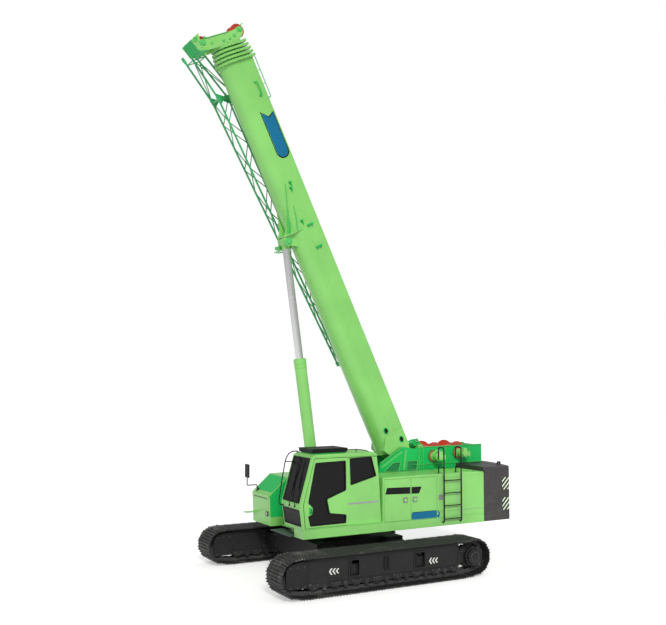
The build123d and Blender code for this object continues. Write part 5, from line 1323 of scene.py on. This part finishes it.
ports, motors, bosses = Form(), Form(), []
for x, z in PORTS:
    for side in (-1, 1):
        start = (x, side * WINCH_Y, z)
        ports.turned(((0.150, -0.001), (0.150, 0.014), (0.128, 0.014), (0.124, -0.012), (0.004, -0.012)),
                     start, Y * side, sides=40)
        bosses += circle_of(10, 0.139, (x, side * (WINCH_Y + 0.014), z), Y * side)
    # the motor's housing, its flange, its end cover and its two port blocks
    motors.turned(((0.098, 0.0), (0.098, 0.055), (0.078, 0.060), (0.078, 0.180), (0.092, 0.185),
                   (0.092, 0.250), (0.078, 0.255), (0.074, 0.315), (0.050, 0.325), (0.004, 0.325)),
                  (x, WINCH_Y + 0.002, z), Y, sides=28)
    motors.block((x - 0.055, WINCH_Y + 0.20, z + 0.05), (x + 0.055, WINCH_Y + 0.30, z + 0.125))
    motors.block((x - 0.15, WINCH_Y + 0.205, z - 0.06), (x - 0.05, WINCH_Y + 0.29, z + 0.045))
    bosses += circle_of(6, 0.088, (x, WINCH_Y + 0.057, z), Y)
# the port rings and their dishes are in the dark green: painted shade in the openings
ports.made("winch_ports", "shade")
motors.made("winch_motor_ends", "body")
fasteners("winch_bolts", BOLT, bosses, "steel", size=0.016)

reds = Form()
for x, z in PORTS:
    for side in (-1, 1):
        reds.ring(0.122, 0.100, -0.010, 0.006, (x, side * WINCH_Y, z), Y * side)
reds.made("winch_port_rings", "red")

# winding grooves and flange bolts, on the drums themselves
for body, x, z in (("winch_drum_front", -2.40, 2.44), ("winch_drum_rear", -3.05, 2.44)):
    drum = Form()
    for k in range(19):
        y = -0.225 + k * 0.025
        drum.ring(0.1535, 0.140, -0.010, 0.010, (x, y, z), Y, sides=28)
    drum.made(body + "_grooves", "steel", body, slot="red")
    fasteners(body + "_bolts", BOLT,
              circle_of(12, 0.205, (x, 0.279, z), Y) + circle_of(12, 0.205, (x, -0.279, z), -Y), "steel",
              body, size=0.016)

# hoses that loop over behind the valve bank, and the bank, both in the body green's shaded copy: painted
# shade
hoses = Form()
for k in range(5):
    y = -0.16 + k * 0.06
    hoses.tube([(-1.92, y, 2.60), (-1.96, y, 2.70 + 0.012 * k), (-2.05, y, 2.73 + 0.01 * k), (-2.12, y, 2.66),
                (-2.13, y, 2.58)], 0.013)
    hoses.turned(((0.019, 0), (0.019, 0.025), (0.015, 0.03)), (-1.92, y, 2.585), Z, sides=6)
hoses.made("winch_hoses", "deep")
valves = Form()
for k in range(3):
    x = -1.93 - k * 0.075
    valves.block((x - 0.03, -0.20, 2.615), (x + 0.03, 0.16, 2.668))
    valves.turned(((0.022, 0), (0.022, 0.05), (0.012, 0.06), (0.004, 0.062)), (x, 0.06, 2.668), Z, sides=12)
valves.rounded(0.003, 1).made("valve_bank", "deep")

# ---------------------------------------------------------------- boom
LEAN = math.radians(64.6)
BOOM_FOOT = Vector((-1.6, 0, 2.35))
ALONG = Vector((math.cos(LEAN), 0, math.sin(LEAN)))
OUT = Vector((-math.sin(LEAN), 0, math.cos(LEAN)))
BASE_HALF, BASE_TOP, BASE_BOTTOM, BASE_END = 0.270, 0.227, -0.476, 9.560
FOOT_FACE = 0.286                  # outer face of the doubler at the boom's foot


def on_boom(s, n, y=0.0):
    """Place in the boom's own frame: s along it, n toward its top plate."""
    return BOOM_FOOT + ALONG * s + OUT * n + Y * y


def boom_flat(y):
    """Places for an outline of (s, n) on the boom's side at this Y."""
    return lambda u, v, w: on_boom(u, v, y + w)


def belly(s, turn, out=0.0, side=1):
    """Point on the round belly: turn runs from the side wall (0) to the lowest line (90)."""
    t = math.radians(turn)
    reach = BASE_HALF + out
    return on_boom(s, BASE_BOTTOM + BASE_HALF - reach * math.sin(t), side * reach * math.cos(t))


seams = Form()
for side in (-1, 1):
    for n, start in ((-0.10, 0.72), (BASE_TOP - 0.030, 0.35)):
        seams.tube([on_boom(start, n, side * BASE_HALF), on_boom(BASE_END - 0.05, n, side * BASE_HALF)],
                   0.0035, sides=6)
    seams.tube([belly(0.8, 64, 0, side), belly(BASE_END - 0.05, 64, 0, side)], 0.0035, sides=6)
    # bead round the doubler at the foot
    foot = [(0.42, -0.446), (0.70, -0.276), (0.70, 0.187), (0.30, 0.207), (-0.06, 0.14)]
    seams.tube([on_boom(s, n, side * (BASE_HALF + 0.012)) for s, n in foot], 0.006, sides=6)
for s in (0.76, 9.44):
    ring = [on_boom(s, BASE_TOP, -BASE_HALF), on_boom(s, BASE_TOP, BASE_HALF)]
    ring += [belly(s, t, 0, 1) for t in range(0, 91, 15)] + [belly(s, t, 0, -1) for t in range(75, -1, -15)]
    seams.tube(ring, 0.004, sides=6, closed=True)
seams.made("boom_welds", "boom", "boom_base")


def banner(border):
    """Outline of the blank strip, with a notched top and a round foot; a border widens it."""
    low, high, start, end = -0.115 - border, 0.200 + border, 7.28 - border, 8.33 + border
    middle = (low + high) / 2
    half = (high - low) / 2
    arc = [(start + half * (1 - math.sin(a)), middle - half * math.cos(a)) for a in
           (math.pi * k / 14 for k in range(15))]
    return arc + [(end - 0.04, high), (end - 0.12, middle), (end + 0.03, low)]


for border, name, finish, lift in ((-0.022, "boom_banner", "blue", 0.0032),
                                   (0.006, "boom_banner_edge", "mark", 0.0022)):
    strip = Form()
    for side in (-1, 1):
        strip.raised(banner(border), boom_flat(side * BASE_HALF), lift, side)
    strip.made(name, finish, "boom_base", slot="boom")


def oval(s, n, long, wide):
    angles = [2 * math.pi * k / 24 for k in range(24)]
    return [(s + long * math.cos(a), n + wide * math.sin(a)) for a in angles]


# ports in the foot doubler, brackets, hose clamps and the grab handle on the sides; each port is a flat black
# oval that stands for the shade in its opening (painted shade)
port_shade_ovals, bits = Form(), Form()
for side in (-1, 1):
    for s, n, level in ((0.806, -0.205, BASE_HALF), (0.458, 0.077, FOOT_FACE)):
        flat = boom_flat(side * level)
        port_shade_ovals.raised(oval(s, n, 0.062, 0.044), flat, 0.002, side)
        bits.banded(oval(s, n, 0.080, 0.060), oval(s, n, 0.062, 0.044), flat, 0.01, side)
    flat = boom_flat(side * BASE_HALF)
    for s, n in ((6.727, -0.080), (6.608, -0.115), (5.862, -0.170)):
        bits.raised(rect(s - 0.045, s + 0.045, n - 0.012, n + 0.012), flat, 0.045, side)
        bits.raised(rect(s + 0.030, s + 0.045, n - 0.04, n + 0.03), flat, 0.055, side)
    for s, n in ((5.745, -0.020), (5.230, -0.020)):
        bits.raised(rect(s - 0.020, s + 0.020, n - 0.075, n + 0.075), flat, 0.014, side)
        for k in (-1, 1):
            bits.prism(rect(s - 0.020, s + 0.020, n + k * 0.045 - 0.014, n + k * 0.045 + 0.014), flat,
                       side * 0.010, side * 0.060)
        bits.tube([on_boom(s, n - 0.075, side * (BASE_HALF + 0.045)),
                   on_boom(s, n + 0.075, side * (BASE_HALF + 0.045))], 0.011)
bits.rounded(0.002, 1)
for side in (-1, 1):
    # handle: a bar on two feet
    y = side * (BASE_HALF + 0.055)
    bits.tube([on_boom(8.986, 0.020, side * BASE_HALF), on_boom(8.975, 0.072, y), on_boom(8.69, 0.072, y),
               on_boom(8.68, 0.020, side * BASE_HALF)], 0.011)
    # guide rod beside the top edge, from the base collar to its bracket
    bits.tube([on_boom(9.50, 0.275, side * 0.285), on_boom(8.60, 0.275, side * 0.285)], 0.010)
    bits.tube([on_boom(8.60, 0.275, side * 0.285), on_boom(8.585, 0.215, side * 0.262)], 0.012)
    for s in (9.20, 8.90):
        bits.tube([on_boom(s, 0.275, side * 0.285), on_boom(s, 0.215, side * 0.262)], 0.008, sides=6)
port_shade_ovals.made("boom_ports", "mark", "boom_base", slot="boom")
# the fittings take the body green's shaded copy: painted shade
bits.made("boom_fittings", "deep", "boom_base", slot="boom")

# ribs that run down the belly to the cylinder's lug, and the lug's bosses
ribs = Form()
RIBS = (((6.76, 0, 0.012), (6.56, 13, 0.030), (6.30, 30, 0.045), (6.06, 44, 0.070), (5.88, 54, 0.11),
         (5.738, 60, 0.165)), ((6.26, 3, 0.010), (6.06, 10, 0.030), (5.90, 18, 0.055), (5.738, 26, 0.085)))
for side in (-1, 1):
    for rib in RIBS:
        rows = []
        for s, turn, high in rib:
            low_a, low_b = belly(s, turn - 1.8, -0.004, side), belly(s, turn + 1.8, -0.004, side)
            top_a, top_b = belly(s, turn - 1.6, high, side), belly(s, turn + 1.6, high, side)
            rows.append([low_a, low_b, top_b, top_a])
        ribs.hull(rows)
    pin = on_boom(5.593, -0.600, side * 0.165)
    ribs.turned(((0.085, 0), (0.085, 0.012), (0.060, 0.014), (0.058, 0.030), (0.004, 0.032)), pin, Y * side)
    ribs.raised(rect(5.52, 5.60, -0.70, -0.655), boom_flat(side * 0.165), 0.02, side)
ribs.prism([(5.44, -0.66), (5.50, -0.76), (5.565, -0.74), (5.52, -0.64)], boom_flat(-0.16), -0.14, 0.0)
ribs.prism([(5.39, -0.69), (5.45, -0.79), (5.47, -0.775), (5.41, -0.675)], boom_flat(-0.16), -0.17, 0.02)
ribs.made("lug_ribs", "rim", "boom_base")

# collars: adjusting screws round each section's end, and a bead along both edges
COLLAR_PITCH = 0.086
SECTION_BODIES = ("boom_base", "boom_section_2", "boom_section_3", "boom_section_4", "boom_section_5")
for k, body in enumerate(SECTION_BODIES):
    proud = 0.062 + 0.017 * k      # the collar's face beyond the section's
    half = BASE_HALF - 0.027 * k + proud
    top = BASE_TOP - 0.031 * k + proud
    bottom = BASE_BOTTOM + 0.031 * k - proud
    s = BASE_END + COLLAR_PITCH * k - 0.023
    spots = []
    for side in (-1, 1):
        for n in (top - 0.05, top - 0.17, (top + bottom) / 2 + 0.10, (top + bottom) / 2 - 0.02):
            spots.append((on_boom(s, n, side * half), Y * side, ALONG))
        spots.append((on_boom(s, top, side * (half - 0.06)), OUT, ALONG))
        spots.append((on_boom(s, top, side * (half - 0.20)), OUT, ALONG))
        for turn in (30, 55, 80):
            a = math.radians(turn)
            out = Y * side * math.cos(a) - OUT * math.sin(a)
            spots.append((on_boom(s, bottom + half) + out * half, out, ALONG))
    fasteners("collar_screws_%d" % (k + 1), BOLT, spots, "boom", body, size=0.026)
    edge = Form()
    for offset in (-0.021, 0.021):
        ring = [on_boom(s + offset, top, -half), on_boom(s + offset, top, half)]
        for way, turns in ((1, range(0, 91, 9)), (-1, range(81, -1, -9))):
            for a in map(math.radians, turns):
                ring.append(on_boom(s + offset, bottom + half)
                            + (Y * way * math.cos(a) - OUT * math.sin(a)) * half)
        edge.tube(ring, 0.004, sides=6, closed=True)
    edge.made("collar_edge_%d" % (k + 1), "boom", body)

# ---------------------------------------------------------------- boom head
HEAD = 9.904                       # where the head starts along the boom
HEAD_Y = 0.25                      # outer face of its cheeks
HEAD_EDGE = ((0.001, 0.100), (0.043, 0.138), (0.133, 0.240), (0.200, 0.262), (0.262, 0.245), (0.290, 0.190),
             (0.255, 0.100), (0.235, -0.088), (0.242, -0.652), (0.251, -0.769), (0.387, -0.755),
             (0.293, -0.966), (0.046, -0.888), (0.001, -0.660))
TOP_SHEAVE, LOW_SHEAVE, HEAD_EYE = (0.228, 0.197), (0.180, -0.733), (0.285, -0.870)
head = Form()
covers = Form()
for side in (-1, 1):
    flat = lambda u, v, w, side=side: on_boom(HEAD + u, v, side * HEAD_Y + side * w)
    for a, b in ((12, 11), (13, 12), (8, 7)):
        strip_along(head, (HEAD_EDGE[a], HEAD_EDGE[b]), flat, -0.012, -0.010, 0.020)
    for centre, radius in ((TOP_SHEAVE, 0.062), (LOW_SHEAVE, 0.070)):
        head.turned(((radius, 0), (radius, 0.010), (radius - 0.022, 0.012), (radius - 0.024, 0.028),
                     (0.004, 0.030)), on_boom(HEAD + centre[0], centre[1], side * HEAD_Y), Y * side)
        head.raised(rect(centre[0] - 0.045, centre[0] + 0.045, centre[1] - 0.075, centre[1] - 0.050), flat,
                    0.012)
    head.turned(((0.052, 0), (0.052, 0.014), (0.026, 0.014), (0.026, -0.02)),
                on_boom(HEAD + HEAD_EYE[0], HEAD_EYE[1], side * HEAD_Y), Y * side)
    for s, n, radius in ((0.119, -0.541, 0.026), (0.095, -0.262, 0.030), (0.101, -0.108, 0.026),
                         (0.14, 0.021, 0.034)):
        head.turned(((radius, 0), (radius, 0.016), (radius * 0.6, 0.020), (0.003, 0.021)),
                    on_boom(HEAD + s, n, side * HEAD_Y), Y * side, sides=16)
    # rope keepers over the top sheaves, and the cheeks' lower lips
    head.tube([on_boom(HEAD + 0.30, 0.245, side * 0.235), on_boom(HEAD + 0.33, 0.325, side * 0.235)], 0.010)
    head.prism([(0.235, -0.60), (0.300, -0.640), (0.295, -0.665), (0.235, -0.69)], flat, -0.020, 0.0)
for s, n in ((0.215, 0.005), (0.215, -0.30), (0.050, -0.45), (0.335, -0.80)):
    head.tube([on_boom(HEAD + s, n, -0.235), on_boom(HEAD + s, n, 0.235)], 0.016, sides=10)
# cover plates across the head's open front and bottom, in the body green's shaded copy: painted shade
across = lambda u, v, w: on_boom(HEAD + u, v, w * 0.228)
covers.prism([(0.046, -0.888), (0.293, -0.966), (0.2915, -0.958), (0.050, -0.880)], across, -1, 1)
covers.prism([(0.001, -0.660), (0.046, -0.888), (0.054, -0.886), (0.009, -0.660)], across, -1, 1)
for low, high in ((0.70, 1), (-1, -0.70)):
    covers.prism([(0.387, -0.755), (0.293, -0.966), (0.285, -0.962), (0.379, -0.752)], across, low, high)
head.made("head_trim", "rim", "boom_section_5")
covers.made("head_covers", "deep", "boom_section_5", slot="boom")
HEAD_BOLTS = [(on_boom(HEAD + s, n, side * HEAD_Y), Y * side, ALONG) for side in (-1, 1)
              for s, n in ((0.03, 0.08), (0.03, -0.05), (0.03, -0.18), (0.03, -0.31), (0.03, -0.44),
                           (0.21, -0.20), (0.21, -0.42), (0.21, -0.56), (0.10, -0.80), (0.20, -0.85))]
fasteners("head_bolts", BOLT, HEAD_BOLTS, "steel", "boom_section_5", size=0.022)


def sheave(form, centre, y, radius, wide):
    """Grooved rim, dished web and hub of one rope sheave."""
    half = wide / 2
    rows = [(0.033, -half), (0.055, -half), (0.060, -half * 0.45), (radius - 0.035, -half * 0.45),
            (radius - 0.028, -half), (radius, -half), (radius + 0.001, -half * 0.8),
            (radius - 0.020, -half * 0.25)]
    mirrored = [(r, -along) for r, along in reversed(rows)]
    form.turned(rows + [(radius - 0.023, 0)] + mirrored, on_boom(HEAD + centre[0], centre[1], y), Y, sides=40)


low, guide = Form(), Form()
for y in (-0.150, -0.050, 0.050, 0.150):
    sheave(low, LOW_SHEAVE, y, 0.155, 0.048)
for y in (-0.110, 0.110):
    sheave(guide, TOP_SHEAVE, y, 0.155, 0.048)
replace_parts(low.made("head_sheave_rims", "red", "head_sheaves"), "head_sheaves")
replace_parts(guide.made("guide_sheave_rims", "red", "guide_sheaves"), "guide_sheaves")

# ---------------------------------------------------------------- fly jib
# the jib's three stations: place along the boom, lower chords, height, and Y of the near and far chords
JIB = ((10.020, -0.790, 0.300, -0.430, -0.800), (8.980, -0.556, 0.400, -0.430, -0.770),
       (2.520, -0.290, 0.140, -0.395, -0.520))


def jib_spot(section, share, high, far):
    """Corner of the jib between two of its stations."""
    a, b = JIB[section], JIB[section + 1]
    s, n, tall, near, away = (p + share * (q - p) for p, q in zip(a, b))
    return on_boom(s, n + (tall if high else 0), away if far else near)


lace = Form()
for one in (False, True):
    lace.tube([jib_spot(0, 0.10, False, one), jib_spot(0, 0.10, True, one)], 0.013)
    lace.tube([jib_spot(0, 0.10, one, False), jib_spot(0, 0.10, one, True)], 0.013)
    lace.tube([jib_spot(0, 0.10, one, one), jib_spot(0, 0.98, not one, one)], 0.011, sides=6)
    lace.tube([jib_spot(0, 0.10, one, one), jib_spot(0, 0.98, one, not one)], 0.011, sides=6)
for high in (False, True):
    for far in (False, True):
        tip = jib_spot(0, 0, high, far)
        way = (jib_spot(0, 0, high, far) - jib_spot(0, 1, high, far)).normalized()
        lace.turned(((0.030, -0.06), (0.030, 0.0), (0.024, 0.01)), tip, way, sides=12)
        for k in (-1, 1):
            ear = [tip + Y * (k * 0.018) + way * u + OUT * v
                   for u, v in ((-0.02, -0.03), (0.07, -0.022), (0.085, 0), (0.07, 0.022), (-0.02, 0.03))]
            lace.hull([[p - Y * 0.006 for p in ear], [p + Y * 0.006 for p in ear]])
        knee = jib_spot(1, 0, high, far)
        lace.turned(((0.034, -0.07), (0.034, 0.07)), knee, way, sides=12)
        lace.turned(((0.036, -0.05), (0.036, 0.03), (0.020, 0.05)), jib_spot(1, 1, high, far), way, sides=12)
for bay in range(13):
    for high in (False, True):
        for far in (False, True):
            spot = jib_spot(1, bay / 12, high, far)
            way = (jib_spot(1, 1, high, far) - jib_spot(1, 0, high, far)).normalized()
            lace.turned(((0.0235, -0.022), (0.0235, 0.022)), spot, way, sides=10)
# end frame's knee plates
for far in (False, True):
    flat = boom_flat(-0.77 if far else -0.43)
    for high in (False, True):
        n0 = -0.556 + (0.400 if high else 0)
        d = -1 if high else 1
        lace.prism([(8.98, n0), (8.98, n0 + d * 0.14), (8.955, n0 + d * 0.14), (8.86, n0 + d * 0.02)], flat,
                   -0.006, 0.006)
        lace.prism([(8.98, n0), (8.98, n0 + d * 0.14), (9.005, n0 + d * 0.14), (9.10, n0)], flat, -0.006,
                   0.006)
lace.made("jib_lacing", "jib", "boom_base")

# ---------------------------------------------------------------- luffing cylinder
CYL_FOOT = Vector((0.51, 0, 1.215))
CYL_HEAD = Vector((1.341035, 0, 7.144993))
CYL_AXIS = (CYL_HEAD - CYL_FOOT).normalized()
BARREL = 3.42                      # from the foot's pin to the barrel's end


def on_cylinder(distance, out=0.0, turn=0.0):
    """Point beside the cylinder's axis: turn 0 is its front, 90 its left."""
    front = Vector((CYL_AXIS.z, 0, -CYL_AXIS.x))
    a = math.radians(turn)
    return CYL_FOOT + CYL_AXIS * distance + (front * math.cos(a) + Y * math.sin(a)) * out


gland = Form()
gland.turned(((0.128, -0.20), (0.137, -0.195), (0.137, -0.13), (0.131, -0.125), (0.131, -0.115),
              (0.138, -0.11), (0.138, -0.012), (0.130, -0.004), (0.100, 0.0), (0.098, 0.012), (0.085, 0.014),
              (0.085, -0.02)), on_cylinder(BARREL), CYL_AXIS, sides=48)
gland.ring(0.1385, 0.132, -0.070, -0.050, on_cylinder(BARREL), CYL_AXIS, sides=48)
gland.turned(((0.130, -0.02), (0.142, -0.016), (0.142, 0.040), (0.130, 0.046)), on_cylinder(0.30), CYL_AXIS,
             sides=48)
for turn in (250, 285):
    gland.tube([on_cylinder(0.36, 0.128, turn), on_cylinder(0.40, 0.165, turn),
                on_cylinder(3.10, 0.165, turn), on_cylinder(3.16, 0.160, turn),
                on_cylinder(3.20, 0.128, turn)], 0.012)
    for d in (0.9, 1.6, 2.3, 2.95):
        gland.hull([[on_cylinder(d + u, r, turn + t)
                     for r, t in ((0.125, -7), (0.125, 7), (0.180, 5), (0.180, -5))]
                    for u in (-0.018, 0.018)])
gland.made("cylinder_gland", "boom", "luff_barrel")
eye = Form()
eye.turned(((0.109, -0.108), (0.112, -0.100), (0.112, 0.100), (0.109, 0.108), (0.060, 0.109)), CYL_HEAD, Y,
           sides=32)
eye.turned(((0.086, -0.16), (0.093, -0.155), (0.093, -0.09), (0.086, -0.08)), CYL_HEAD, CYL_AXIS, sides=32)
eye.made("rod_eye_cover", "boom", "luff_rod")


# ---------------------------------------------------------------- floor and light
def lay_floor():
    """A wide pale floor with a faint glow of its own toward the camera."""
    mesh = bpy.data.meshes.new("floor")
    mesh.from_pydata([(x, y, 0) for x, y in rect(-60, 60, -60, 60)], [], [(0, 1, 2, 3)])
    finish = Finish("pale_floor", Base_Color=(0.8, 0.8, 0.8, 1), Roughness=0.9, Specular_IOR_Level=0.0)
    path = finish.node("ShaderNodeLightPath", {}, {})
    seen = path["Is Camera Ray"] + path["Is Glossy Ray"] + path["Is Transmission Ray"]
    glow = finish.node("ShaderNodeEmission", {}, {"Color": (1, 1, 1, 1), "Strength": seen.clamped() * 0.42})
    both = finish.node("ShaderNodeAddShader", {}, {0: Wire(finish, finish.shader.outputs[0]), 1: glow[0]})
    finish.feed(finish.out.inputs["Surface"], both[0])
    floor = placed("floor", mesh)
    mesh.materials.append(finish.material)


def light_studio():
    """An even white surround, brighter where it is seen than where it lights, a sun and a soft fill."""
    world = bpy.data.worlds.new("studio")
    bpy.context.scene.world = world
    world.use_nodes = True
    tree = world.node_tree
    tree.nodes.clear()
    path = tree.nodes.new("ShaderNodeLightPath")
    seen = tree.nodes.new("ShaderNodeMath")
    seen.operation = "MAXIMUM"
    tree.links.new(path.outputs["Is Camera Ray"], seen.inputs[0])
    tree.links.new(path.outputs["Is Transmission Ray"], seen.inputs[1])
    strength = tree.nodes.new("ShaderNodeMapRange")
    strength.inputs["To Min"].default_value = 0.52
    strength.inputs["To Max"].default_value = 1.0
    tree.links.new(seen.outputs[0], strength.inputs["Value"])
    back = tree.nodes.new("ShaderNodeBackground")
    back.inputs["Color"].default_value = (1, 1, 1, 1)
    tree.links.new(strength.outputs["Result"], back.inputs["Strength"])
    out = tree.nodes.new("ShaderNodeOutputWorld")
    tree.links.new(back.outputs[0], out.inputs["Surface"])
    for name, toward, power, angle, colour in (
        ("key", (-0.34, -0.86, -0.60), 1.88, 12, (1.0, 0.975, 0.93)),
        ("fill", (0.80, 0.35, -0.45), 0.45, 40, (0.92, 0.98, 1.0)),
    ):
        data = bpy.data.lights.new(name, "SUN")
        data.energy = power
        data.color = colour
        data.angle = math.radians(angle)
        placed(name, data).rotation_euler = Vector(toward).to_track_quat("-Z", "Y").to_euler()


lay_floor()
light_studio()
